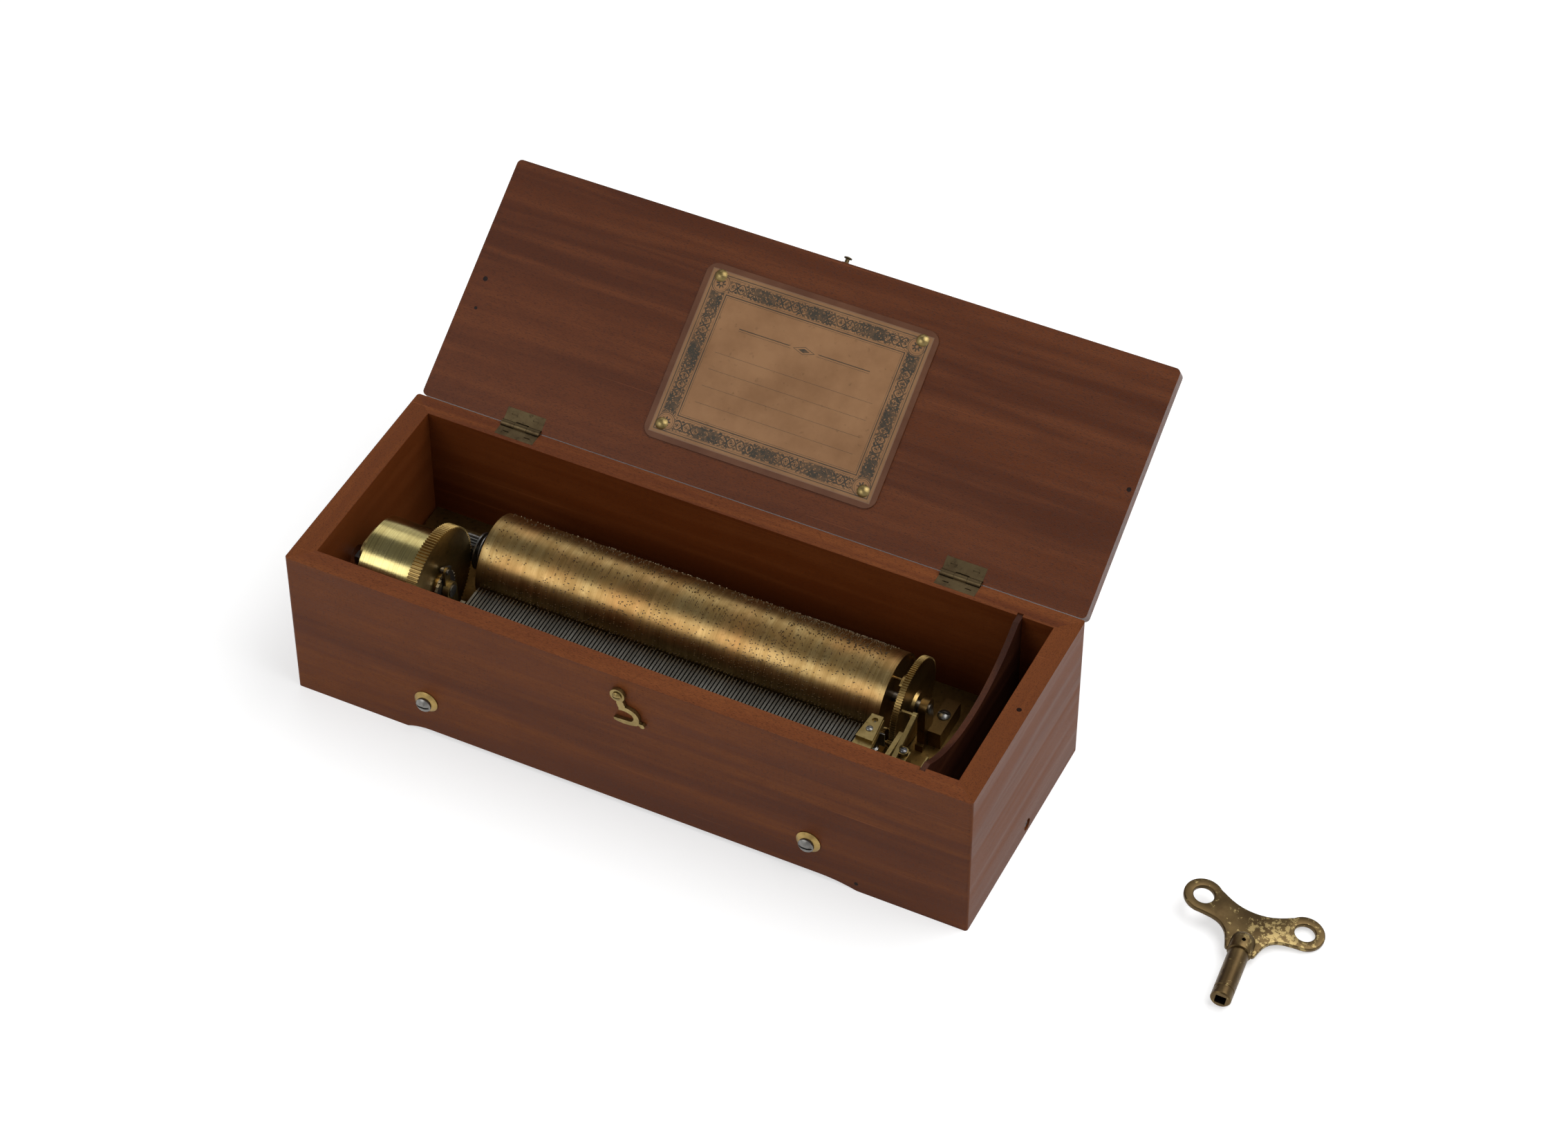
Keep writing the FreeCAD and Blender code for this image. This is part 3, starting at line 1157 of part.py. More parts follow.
bar_holes = [rod("z", x, comb_screw_y, axis_z - comb_thick - 9, comb_screw_r + 0.05, 12)
             for x in comb_screw_x]
named(cut(bar, *bar_holes), "comb_base")
named(group(*[screw("z", x, comb_screw_y, axis_z, comb_screw_r, comb_thick + 8,
                    comb_screw_head, 1.6) for x in comb_screw_x]), "comb_screws")

# Lead weights under the bass teeth, one to each tooth.
weight_body = new_body("weights")
weight_body.AllowCompound = True
weight_x = first_cut + half_cut
weight_line = outline(weight_body, "XY_Plane",
                      [(weight_x, tip_y - 8.6), (weight_x + comb_pitch - comb_cut, tip_y - 8.6),
                       (weight_x + comb_pitch - comb_cut, tip_y - 4.2), (weight_x, tip_y - 4.2)],
                      axis_z - tooth_thick - 2.6)
weight_pad = pad(weight_body, weight_line, 2.6)
weight_row = weight_body.newObject("PartDesign::LinearPattern", "weight_row")
weight_row.Originals = [weight_pad]
weight_row.Direction = (weight_line, ["H_Axis"])
bind(weight_row, "Length", comb_pitch * 27)
weight_row.Occurrences = 28
weight_body.Tip = weight_row
named(weight_body, "comb_weights")

# The governor: a worm wheel on a cross arbor turns an upright endless screw with a fly.
cheek_top = gov_axis_z + 3.2
cheek_y0 = gov_axis_y - 3.7
left_cheek_x = worm_x - 4.6
right_cheek_x = great_left + great_thick + 0.9
cheek_thick = 1.6
foot_top = bed_top + 4.5
wheel_plane = worm_x - 0.9
gov_foot = box(left_cheek_x, right_cheek_x + cheek_thick, worm_y - 24.5, gov_axis_y + 1.5,
               bed_top, foot_top)
gov_column = box(worm_x - 3.6, worm_x + 4.6, worm_y - 18.2, worm_y - 12.6, bed_top,
                 gov_top - 0.5)
gov_arm = box(worm_x - 2.6, worm_x + 2.6, worm_y - 13, worm_y + 2.6, gov_axis_z - 10.8,
              gov_axis_z - 7.6)
gov_table = plate("XY_Plane",
                  [(worm_x - 4.8, worm_y - 18.0), (worm_x + 5.4, worm_y - 18.4),
                   (worm_x + 3.1, worm_y + 3.4, (6.0, -1)), (worm_x - 3.3, worm_y + 3.4)],
                  gov_top - gov_slab, gov_slab)
left_cheek = box(left_cheek_x, left_cheek_x + cheek_thick, cheek_y0, gov_axis_y + 1.5,
                 bed_top, cheek_top)
right_cheek = box(right_cheek_x, right_cheek_x + cheek_thick, cheek_y0, gov_axis_y + 3.0,
                  bed_top, cheek_top)
pivot_bore = pivot_r + 0.04
gov_screw_y = worm_y - 21.6
gov_screw_x = (worm_x - 2.0, worm_x + 6.0)
cap_screw_y = worm_y - 6.2
named(cut(fuse(gov_foot, gov_column, gov_arm, gov_table, left_cheek, right_cheek),
          rod("z", worm_x, worm_y, gov_axis_z - 10.4, pivot_bore, 40),
          rod("x", left_cheek_x - 1, gov_axis_y, gov_axis_z, pivot_bore, 20),
          rod("z", worm_x, cap_screw_y, gov_top - 5, 0.95, 9),
          *[rod("z", x, gov_screw_y, bed_top - 1, 1.35, 9) for x in gov_screw_x]),
      "governor_frame")
cap_plate = plate("XY_Plane",
                  [(worm_x - 4.4, worm_y - 12.8), (worm_x + 4.6, worm_y - 13.1),
                   (worm_x + 2.9, worm_y + 3.4), (worm_x - 3.1, worm_y + 3.4)],
                  gov_top, cap_high)
named(cut(cap_plate, rod("z", worm_x, worm_y, gov_top + 0.6, 1.5, 5),
          rod("z", worm_x, worm_y, gov_top - 1, pivot_bore, 5),
          rod("z", worm_x, cap_screw_y, gov_top - 1, 0.95, 9)), "governor_cap")
named(screw("z", worm_x, cap_screw_y, gov_top + cap_high, 0.9, cap_high + 3.2, 1.75, 1.0, 0.5),
      "governor_cap_screw")
named(group(*[screw("z", x, gov_screw_y, foot_top, 1.3, 8.0, 2.4, 1.4) for x in gov_screw_x]),
      "governor_screws")

worm_wheel_pitch = worm_wheel_module * worm_wheel_teeth / 2
wheel_disc = gear(worm_wheel_teeth, worm_wheel_module, 1.8, fine_r, 0.0, wheel_plane,
                  gov_axis_y, gov_axis_z)
gov_pinion = gear(gov_leaves, great_module, great_thick + 0.6, fine_r,
                  gov_angle + 180 + 180 / gov_leaves.value, great_left - 0.3, gov_axis_y,
                  gov_axis_z)
cross_arbor = fuse(rod("x", left_cheek_x + cheek_thick + 0.25, gov_axis_y, gov_axis_z, fine_r,
                       right_cheek_x - left_cheek_x - cheek_thick - 0.5),
                   rod("x", left_cheek_x + 0.2, gov_axis_y, gov_axis_z, pivot_r,
                       right_cheek_x - left_cheek_x + cheek_thick - 0.4))
named(fuse(wheel_disc, gov_pinion, cross_arbor), "worm_wheel")

worm_out = size("worm_out", 1.9, "endless screw's outside radius")
arm_top = gov_axis_z - 7.6
worm_low = gov_axis_z - 4.2
endless = turned("z", worm_x, worm_y, 0,
                 [(0, arm_top - 2.6), (pivot_r, arm_top - 2.6), (pivot_r, arm_top + 0.3),
                  (fine_r, arm_top + 0.3), (fine_r, worm_low), (worm_out, worm_low + 0.6),
                  (worm_out, worm_low + 7.6), (fine_r, worm_low + 8.2),
                  (fine_r, gov_top - gov_slab - 0.3), (pivot_r, gov_top - gov_slab - 0.3),
                  (pivot_r, gov_top + 0.5), (0, gov_top + 0.5)])
fly_hub = rod("z", worm_x, worm_y, fly_low - 0.4, 1.4, fly_high - fly_low + 0.8)
fly_blade = box(worm_x - fly_r, worm_x + fly_r, worm_y - fly_thick / 2, worm_y + fly_thick / 2,
                fly_low, fly_high)
named(fuse(endless, fly_hub, fly_blade), "endless_worm")

# Stop and change levers, pivoted on a block behind the front board.
block_x0 = right_cheek_x + cheek_thick + 0.9
lever_top = size("lever_top", 56.0, "levers' top, front end")
lever_under = lever_top - lever_deep
block_top = lever_under - 0.3
stop_pivot_x = lever_x + 2.4
stop_pivot_y = size("stop_pivot_y", -20.5, "stop lever's pivot along Y")
change_x = lever_x - lever_gap
change_pivot_y = size("change_pivot_y", -28.0, "change lever's pivot along Y")
block_foot = box(block_x0, lever_x + 5.4, lever_post_y, stop_pivot_y + 5.5, bed_top, foot_top)
block_post = box(block_x0, lever_x + 5.0, stop_pivot_y - 11.6, stop_pivot_y + 3.0, bed_top,
                 block_top)
block_boss = rod("z", stop_pivot_x, stop_pivot_y, block_top - 1, 2.4,
                 lever_top - 2.0 - block_top + 1)
block_screw_y = lever_post_y + 3.6
block_screw_x = (block_x0 + 2.6, block_x0 + 7.2)
named(cut(fuse(block_foot, block_post, block_boss),
          rod("z", stop_pivot_x, stop_pivot_y, block_top - 6, 0.95, 12),
          rod("z", change_x, change_pivot_y, block_top - 6, 0.95, 12),
          *[rod("z", x, block_screw_y, bed_top - 1, 1.35, 9) for x in block_screw_x]),
      "lever_block")
hw = lever_wide / 2
arm_y1 = stop_y + 1.3
stop_arm = plate("YZ_Plane",
                 [(stop_pivot_y - 10.5, lever_under), (stop_pivot_y - 5.5, lever_under),
                  (arm_y1, stop_z - 1.6), (arm_y1, stop_z + 0.9, (1.6, -1)),
                  (arm_y1 - 2.6, stop_z + 0.7), (stop_pivot_y - 5.5, lever_top),
                  (stop_pivot_y - 10.5, lever_top)], lever_x - hw, lever_wide)
stop_ear = fuse(box(lever_x, stop_pivot_x, stop_pivot_y - 2.5, stop_pivot_y + 2.5,
                    lever_top - 1.6, lever_top),
                rod("z", stop_pivot_x, stop_pivot_y, lever_top - 1.6, 2.5, 1.6))
stop_pin = rod("x", great_left + great_thick + stop_clear, stop_y, stop_z, stop_pin_r,
               lever_x - great_left - great_thick - stop_clear)
named(cut(fuse(stop_arm, stop_ear, stop_pin),
          rod("z", stop_pivot_x, stop_pivot_y, lever_top - 3, 0.9 + running, 9),
          rod("z", stop_pivot_x, stop_pivot_y, lever_top, 2.1, 9)), "stop_lever")
change_arm = plate("YZ_Plane",
                   [(change_pivot_y - 2.0, lever_under), (change_pivot_y + 18, lever_under),
                    (change_pivot_y + 18, lever_top), (change_pivot_y - 2.0, lever_top)],
                   change_x - hw, lever_wide)
named(cut(change_arm, rod("z", change_x, change_pivot_y, lever_top - 5, 0.9 + running, 9)),
      "change_lever")
lever_fixings = [screw("z", stop_pivot_x, stop_pivot_y, lever_top + 0.15, 0.9, 5.0, 1.9, 1.0, 0.5),
                 screw("z", change_x, change_pivot_y, lever_top + 0.15, 0.9, 6.0, 1.1, 0.9, 0.4)]
lever_fixings += [screw("z", x, block_screw_y, foot_top, 1.3, 8.0, 2.3, 1.4)
                  for x in block_screw_x]
named(group(*lever_fixings), "lever_screws")


# The bedplate of the movement, with a slot under the barrel wheel.
wheel_slot = box(-wheel_left - 1.8, -wheel_right + 1.8, barrel_y - 17, barrel_y + 17,
                 bed_low - 1, bed_top + 1)
bed_holes = [rod("y" if a == "-y" else "-y", x, -in_y - 1 if a == "-y" else in_y + 1, fix_z,
                 fix_shank_r + 0.1, fix_bite + 1.5) for a, x, y in fix_spots]
foot_holes = [rod("z", x, y, bed_top - 4.2, bridge_screw_r + 0.05, 6) for x, y in big_screws]
small_spots = [(tab_screw_x, y) for y in tab_screw_y] + [(left_screw_x, y) for y in left_screw_y]
small_spots += [(x, gov_screw_y) for x in gov_screw_x]
small_spots += [(x, block_screw_y) for x in block_screw_x]
foot_holes += [rod("z", x, y, bed_top - 4.2, 1.35, 6) for x, y in small_spots]
named(cut(box(-bed_left, partition_x - bed_gap - 0.9, -in_y, in_y, bed_low, bed_top),
          wheel_slot, *(bed_holes + foot_holes)), "bedplate")


# The winding key, drawn along its shaft with the shoulder at its own origin.
key = new_body("key")
rr = key_ring_r
up_y = 12.6
pad(key, outline(key, "XY_Plane",
                 [(-key_spread - 2, up_y - rr + 0.3), (-11.0, 1.6), (-8.6, 1.6), (-8.6, -1.2),
                  (8.6, -1.2), (8.6, 1.6), (11.0, 1.6), (key_spread + 2, up_y - rr + 0.3),
                  (key_spread, up_y + rr - 0.4), (key_spread - 6.5, up_y + rr - 2.4, (24.0, 1)),
                  (-key_spread + 6.5, up_y + rr - 2.4), (-key_spread, up_y + rr - 0.4)],
                 -key_bow_thick / 2), key_bow_thick)
rings = [rod("z", s, up_y, -key_bow_thick / 2, rr, key_bow_thick)
         for s in (-key_spread, key_spread)]
eyes = [rod("z", s, up_y, -5, key_ring_hole, 10) for s in (-key_spread, key_spread)]
key_shaft = turned("-y", 0, 4.6, 0,
                   [(0, 0), (key_neck_r - 1.5, 0), (key_neck_r, 1.2), (key_neck_r, 7.4),
                    (key_shaft_r, 8.2), (key_shaft_r, key_shaft_long - 6.0),
                    (key_shaft_r - 0.5, key_shaft_long - 5.6),
                    (key_shaft_r - 0.5, key_shaft_long - 5.0),
                    (key_shaft_r, key_shaft_long - 4.6), (key_shaft_r, key_shaft_long + 3.6),
                    (key_shaft_r - 0.8, key_shaft_long + 4.6), (0, key_shaft_long + 4.6)])
sq = square_side / 2 + key_socket_play
socket = box(-sq, sq, -key_shaft_long - 1, -key_shaft_long + key_socket_deep, -sq, sq)
cross_pin = rod("z", 0, -4.1, -key_neck_r - 3, 1.0, 20)
whole_key = cut(fuse(cut(fuse(key, *rings), *eyes), key_shaft), socket)
holder = doc.addObject("Part::Compound", fresh("keyset"))
holder.Links = [cut(whole_key, cross_pin)]
roll = math.degrees(math.asin((key_neck_r.value - key_bow_thick.value / 2)
                              / (key_spread.value + key_ring_r.value)))
lay = FreeCAD.Rotation(V(0, 0, 1), key_turn.value).multiply(FreeCAD.Rotation(V(0, 1, 0), roll))
holder.Placement = FreeCAD.Placement(V(0, 0, 0), lay)
place(holder, key_x, key_y, key_neck_r)
named(holder, "winding_key")

doc.recompute()

for obj in doc.Objects:
    if "Invalid" in obj.State or "Error" in obj.State:
        raise RuntimeError("failed: %s %s %s" % (obj.Name, obj.TypeId, obj.State))
os.makedirs("parts", exist_ok=True)
for obj in nodes:
    shape = obj.Shape
    if shape.isNull() or not shape.isValid():
        raise RuntimeError("no valid shape: " + obj.Label)
    if not shape.Solids:
        raise RuntimeError("no solid: " + obj.Label)
for obj in nodes:
    obj.Shape.exportStep("parts/%s.step" % obj.Label)
    print("%-26s %2d solids %10.1f mm3" % (obj.Label, len(obj.Shape.Solids), obj.Shape.Volume))
print(len(nodes), "nodes")
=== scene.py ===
import json
import math
import random

import bpy
from mathutils import Matrix, Vector

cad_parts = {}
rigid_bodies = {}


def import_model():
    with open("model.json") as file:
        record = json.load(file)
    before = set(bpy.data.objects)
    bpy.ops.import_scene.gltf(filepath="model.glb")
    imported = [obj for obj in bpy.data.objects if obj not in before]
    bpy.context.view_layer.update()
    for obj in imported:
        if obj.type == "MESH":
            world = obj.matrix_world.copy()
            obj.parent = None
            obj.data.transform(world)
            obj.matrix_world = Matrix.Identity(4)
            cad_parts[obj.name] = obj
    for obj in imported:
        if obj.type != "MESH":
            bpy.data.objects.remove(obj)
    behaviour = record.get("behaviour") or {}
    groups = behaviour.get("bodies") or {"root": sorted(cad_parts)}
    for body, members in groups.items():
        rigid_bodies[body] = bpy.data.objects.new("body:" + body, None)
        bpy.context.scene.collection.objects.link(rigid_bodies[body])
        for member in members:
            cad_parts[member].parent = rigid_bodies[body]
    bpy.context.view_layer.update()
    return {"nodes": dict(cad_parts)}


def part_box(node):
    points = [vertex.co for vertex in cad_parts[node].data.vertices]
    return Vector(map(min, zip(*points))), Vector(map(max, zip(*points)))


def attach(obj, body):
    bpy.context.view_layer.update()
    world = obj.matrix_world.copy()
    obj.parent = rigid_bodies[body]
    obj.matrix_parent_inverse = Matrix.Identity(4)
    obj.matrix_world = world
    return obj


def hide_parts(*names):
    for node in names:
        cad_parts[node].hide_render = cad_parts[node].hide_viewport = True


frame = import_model()
nodes = frame["nodes"]
random.seed(1839)


def put_down():
    """Nothing stays selected, because an operator acts on all that is."""
    for thing in bpy.context.view_layer.objects:
        thing.select_set(False)


def take_up(thing):
    """Only this thing is selected, and it is the one worked on."""
    put_down()
    thing.select_set(True)
    bpy.context.view_layer.objects.active = thing


put_down()

# Camera: high up in front and to the right, looking down on the open box.
lens = bpy.data.cameras.new("camera")
lens.sensor_width = 36.0
lens.lens = 96.917
lens.clip_end = 60.0
camera = bpy.data.objects.new("camera", lens)
camera.location = (0.677171, -1.274436, 1.535953)
camera.rotation_euler = (0.7900698, -0.0007556, 0.4549668)
bpy.context.scene.collection.objects.link(camera)
bpy.context.scene.camera = camera


class Finish:
    """One finish, put together on the piece's own coordinates in metres."""

    def __init__(self, name):
        self.material = bpy.data.materials.new(name)
        self.material.use_nodes = True
        self.tree = self.material.node_tree
        self.shader = self.tree.nodes["Principled BSDF"]
        self.place = self.add("ShaderNodeTexCoord").outputs["Object"]
        self.relief = None

    def add(self, kind, **settings):
        node = self.tree.nodes.new(kind)
        for key, value in settings.items():
            setattr(node, key, value)
        return node

    def feed(self, socket, value):
        if isinstance(value, bpy.types.NodeSocket):
            self.tree.links.new(value, socket)
        else:
            socket.default_value = value

    def stretched(self, scale, turn):
        node = self.add("ShaderNodeMapping")
        self.feed(node.inputs["Vector"], self.place)
        node.inputs["Scale"].default_value = scale
        node.inputs["Rotation"].default_value = turn
        return node.outputs["Vector"]

    def cloud(self, scale, detail=3.0, rough=0.5, twist=0.0, turn=(0, 0, 0)):
        node = self.add("ShaderNodeTexNoise")
        self.feed(node.inputs["Vector"], self.stretched(scale, turn))
        node.inputs["Scale"].default_value = 1.0
        node.inputs["Detail"].default_value = detail
        node.inputs["Roughness"].default_value = rough
        node.inputs["Distortion"].default_value = twist
        return node.outputs["Fac"]

    def steps(self, value, *stops):
        """Grey levels at places along value: (place, level), (place, level), ..."""
        node = self.add("ShaderNodeValToRGB")
        band = node.color_ramp
        while len(band.elements) < len(stops):
            band.elements.new(0.5)
        for element, (place, level) in zip(band.elements, stops):
            element.position = place
            element.color = (level, level, level, 1.0)
        self.feed(node.inputs["Fac"], value)
        return node.outputs["Color"]

    def sum(self, kind, a, b=0.0, c=None, clamp=False):
        """One step of arithmetic, on numbers or on sockets."""
        node = self.add("ShaderNodeMath", operation=kind, use_clamp=clamp)
        self.feed(node.inputs[0], a)
        self.feed(node.inputs[1], b)
        if c is not None:
            self.feed(node.inputs[2], c)
        return node.outputs[0]

    def off(self, value, at):
        """How far value is from at, either way."""
        return self.sum("ABSOLUTE", self.sum("SUBTRACT", value, at))

    def blend(self, share, under, over):
        """The colour under, with that share of the colour over laid on it."""
        node = self.add("ShaderNodeMix", data_type="RGBA")
        self.feed(node.inputs[0], share)
        for socket, shade in ((node.inputs[6], under), (node.inputs[7], over)):
            self.feed(socket, shade + (1.0,) if isinstance(shade, tuple) else shade)
        return node.outputs[2]

    def cut_in(self, height, depth):
        """Adds relief of that depth in metres to the surface."""
        node = self.add("ShaderNodeBump")
        node.inputs["Strength"].default_value = 1.0
        node.inputs["Distance"].default_value = depth
        self.feed(node.inputs["Height"], height)
        if self.relief is not None:
            self.feed(node.inputs["Normal"], self.relief)
        self.relief = node.outputs["Normal"]

    def measured(self):
        """The piece's coordinates one by one: X, Y and Z."""
        node = self.add("ShaderNodeSeparateXYZ")
        self.feed(node.inputs[0], self.place)
        return node.outputs

    def away(self, at):
        """How far a point of the piece is from that place."""
        node = self.add("ShaderNodeVectorMath", operation="DISTANCE")
        self.feed(node.inputs[0], self.place)
        node.inputs[1].default_value = at
        return node.outputs["Value"]

    def spot(self, at, radius):
        """1 inside a small round place on the piece, 0 outside it."""
        return self.sum("LESS_THAN", self.away(at), radius)

    def set(self, colour, rough, metal=0.0, **more):
        self.feed(self.shader.inputs["Base Color"], colour)
        self.feed(self.shader.inputs["Roughness"], rough)
        self.shader.inputs["Metallic"].default_value = metal
        for socket, value in more.items():
            self.shader.inputs[socket.replace("_", " ")].default_value = value
        if self.relief is not None:
            self.feed(self.shader.inputs["Normal"], self.relief)
        return self.material


def along(axis, length, width):
    """Pattern scale with features of that length along one axis and that width across it."""
    scale = [1.0 / width] * 3
    scale[axis] = 1.0 / length
    return tuple(scale)


# The case's hollow, in metres: faces nearer the middle than this are darker, a painted shade.
HOLLOW_X = 0.1721
HOLLOW_Y = 0.0551
HOLLOW_PAINTED_SHADE = (0.092, 0.0165, 0.0010)


def wood(name, dark, mid, light, axis, low=0.34, high=0.50, dash=0.0015, gloss=0.16,
         inside=0.0, painted_hole_shade=()):
    """Mahogany: soft streaks along the grain, fine fibres, and pores as short dark dashes."""
    f = Finish(name)
    bands = f.cloud(along(axis, 0.50, 0.032), 2.0, 0.45, 0.5)
    streaks = f.cloud(along(axis, 0.16, 0.0075), 3.0, 0.5, 0.3)
    mottle = f.cloud(along(axis, 0.018, 0.009), 3.0)
    fibre = f.cloud(along(axis, 0.012, 0.00045), 2.0)
    pores = f.cloud(along(axis, dash, 0.00023), 1.0)
    shade = f.blend(f.steps(bands, (0.40, 0.0), (0.62, 0.90)), mid, dark)
    shade = f.blend(f.steps(streaks, (0.44, 0.0), (0.66, 0.75)), shade, light)
    shade = f.blend(f.steps(mottle, (0.44, 0.0), (0.70, 0.25)), shade, dark)
    shade = f.blend(f.steps(fibre, (0.30, 0.35), (0.60, 0.0)), shade, dark)
    pit = f.steps(pores, (0.56, 0.0), (0.64, 0.50))
    shade = f.blend(pit, shade, tuple(0.22 * c for c in dark))
    scratch = f.cloud((9.0, 900.0, 900.0), 1.0, turn=(0.3, 0.25, 0.9))
    shade = f.blend(f.steps(scratch, (0.765, 0.0), (0.785, 0.30)), shade,
                    tuple(min(1.0, 1.8 * c + 0.01) for c in light))
    # Painted shade: small holes the mesh does not have are dark spots, for the shade inside them.
    for at, radius in painted_hole_shade:
        shade = f.blend(f.spot(at, radius), shade, tuple(0.10 * c for c in dark))
    # Painted shade: faces in the hollow are blended, by the share inside, to a dark colour for the
    # box's shadow.
    if inside:
        place = f.measured()
        within = f.sum("MULTIPLY", *(f.sum("LESS_THAN", f.sum("ABSOLUTE", place[side]), to)
                                     for side, to in (("X", HOLLOW_X), ("Y", HOLLOW_Y))))
        shade = f.blend(f.sum("MULTIPLY", within, inside), shade, HOLLOW_PAINTED_SHADE)
    f.cut_in(f.sum("MULTIPLY", pit, -1.0), 0.00005)
    f.cut_in(fibre, 0.000008)
    rough = f.add("ShaderNodeMapRange")
    f.feed(rough.inputs["Value"], streaks)
    rough.inputs["From Min"].default_value = 0.3
    rough.inputs["From Max"].default_value = 0.7
    rough.inputs["To Min"].default_value = low
    rough.inputs["To Max"].default_value = high
    return f.set(shade, rough.outputs["Result"], Specular_IOR_Level=gloss)


def metal(name, bright, dull, stain, brush=None, low=0.24, high=0.42, age=0.5, specks=0.4,
          lines=0.000004, copper=None):
    """Aged metal: clouds of tarnish, fine dark specks and, where it was brushed, fine lines."""
    f = Finish(name)
    clouds = f.cloud((70.0, 70.0, 70.0), 6.0, 0.62)
    fine = f.cloud((420.0, 420.0, 420.0), 4.0, 0.6)
    shade = f.blend(f.steps(clouds, (0.40, 0.0), (0.64, age)), bright, dull)
    if copper is not None:
        flush = f.cloud((22.0, 30.0, 30.0), 3.0, 0.5)
        shade = f.blend(f.steps(flush, (0.44, 0.0), (0.60, 0.8)), shade, copper)
    shade = f.blend(f.steps(fine, (0.56, 0.0), (0.74, specks)), shade, stain)
    rough = f.sum("MULTIPLY_ADD", clouds, (high - low) * 2.0, low - (high - low) * 0.5)
    if brush is not None:
        scale = [14.0, 14.0, 14.0]
        scale[brush] = 2400.0
        hair = f.cloud(tuple(scale), 3.0, 0.7)
        scale[brush] = 260.0
        tint = f.cloud(tuple(scale), 3.0, 0.7)
        shade = f.blend(f.steps(tint, (0.38, 0.0), (0.66, age)), shade, dull)
        shade = f.blend(f.steps(hair, (0.30, 0.40), (0.56, 0.0)), shade, stain)
        rough = f.sum("MULTIPLY_ADD", hair, 0.16, f.sum("ADD", rough, -0.08))
        f.cut_in(hair, lines)
    f.cut_in(fine, 0.000006)
    return f.set(shade, rough, 1.0)


# Wood: the boards' grain runs along each board, the ends' from front to back.
red = ((0.088, 0.0225, 0.0070), (0.138, 0.0380, 0.0100), (0.182, 0.0550, 0.0145))
end_red = ((0.112, 0.0310, 0.0085), (0.134, 0.0385, 0.0105), (0.158, 0.0470, 0.0130))
inner = ((0.032, 0.0085, 0.0035), (0.056, 0.0150, 0.0050), (0.080, 0.0230, 0.0075))
case_long = wood("case_board_wood", *red, axis=0, gloss=0.10, inside=0.45,
                 painted_hole_shade=(((0.1257, -0.066, 0.0050), 0.0011),))
left_end = wood("left_end_wood", *end_red, axis=1, gloss=0.07, dash=0.0009, inside=0.35)
right_end = wood("right_end_wood", *end_red, axis=1, gloss=0.07, dash=0.0009, inside=0.80,
                 painted_hole_shade=(((0.1789, -0.0017, 0.090), 0.0013),))
lid_wood = wood("lid_wood", (0.066, 0.0158, 0.0042), (0.102, 0.0262, 0.0065),
                (0.130, 0.0355, 0.0088), axis=0, low=0.34, high=0.44, gloss=0.24,
                painted_hole_shade=(((-0.1738, 0.1217, 0.1272), 0.0013), ((-0.1726, 0.1085, 0.1184), 0.0009),
                       ((0.1805, 0.1222, 0.1275), 0.0012)))
floor_wood = wood("bottom_wood", (0.10, 0.05, 0.025), (0.17, 0.09, 0.045), (0.23, 0.13, 0.07),
                  axis=0, low=0.55, high=0.75)
partition_wood = wood("partition_wood", *inner, axis=1, low=0.45, high=0.65)

# Metals.
brass = metal("brass_aged", (0.42, 0.29, 0.105), (0.22, 0.135, 0.046), (0.050, 0.028, 0.011),
              low=0.28, high=0.46, age=0.8)
brass_turned = metal("brass_turned", (0.44, 0.31, 0.115), (0.25, 0.16, 0.055), (0.05, 0.03, 0.012),
                     brush=0, low=0.24, high=0.40, age=0.7)
brass_olive = metal("brass_olive", (0.33, 0.245, 0.100), (0.18, 0.125, 0.045),
                    (0.04, 0.025, 0.010), low=0.32, high=0.50, age=0.9, specks=0.6)
# Painted shade: a darker copy of brass for the cylinder's right bridge, which stands in shadow in
# the box.
brass_painted_shade = metal("brass_painted_shade", (0.21, 0.130, 0.045), (0.12, 0.070, 0.022),
                    (0.030, 0.016, 0.006), low=0.30, high=0.48, age=0.9, specks=0.6)
plate_brass = metal("plate_brass", (0.30, 0.185, 0.055), (0.17, 0.095, 0.028),
                    (0.040, 0.022, 0.008), low=0.32, high=0.50, age=0.9, specks=0.6)
brass_dark = metal("brass_dark", (0.125, 0.090, 0.045), (0.075, 0.050, 0.026),
                   (0.025, 0.017, 0.010), low=0.36, high=0.55, age=0.9, specks=0.7)
drum_brass = metal("drum_brass", (0.68, 0.58, 0.25), (0.50, 0.40, 0.145), (0.14, 0.08, 0.025),
                   brush=0, low=0.15, high=0.25, age=0.45, specks=0.25, lines=0.0000012)
cylinder_brass = metal("cylinder_brass", (0.50, 0.355, 0.150), (0.30, 0.180, 0.058),
                       (0.060, 0.028, 0.008), copper=(0.44, 0.225, 0.075), brush=0,
                       low=0.27, high=0.42, age=0.75, specks=0.5, lines=0.000006)
steel = metal("steel_screws", (0.25, 0.245, 0.23), (0.14, 0.13, 0.12), (0.045, 0.035, 0.025),
              low=0.28, high=0.46, age=0.7, specks=0.5)
steel_dark = metal("steel_blued", (0.16, 0.16, 0.165), (0.09, 0.085, 0.08), (0.03, 0.022, 0.016),
                   low=0.28, high=0.46, age=0.7, specks=0.5)
comb_steel = metal("comb_steel", (0.20, 0.194, 0.172), (0.115, 0.108, 0.092), (0.04, 0.032, 0.022),
                   brush=0, low=0.30, high=0.48, age=0.7, specks=0.4)
pin_steel = metal("pin_steel", (0.150, 0.112, 0.070), (0.080, 0.056, 0.032), (0.02, 0.014, 0.01),
                  low=0.24, high=0.36)
lead = metal("lead", (0.13, 0.13, 0.135), (0.09, 0.09, 0.09), (0.05, 0.05, 0.05),
             low=0.5, high=0.7)


# The place on the key that fingers have rubbed, in metres.
KEY_HELD = (0.322, -0.010, 0.006)


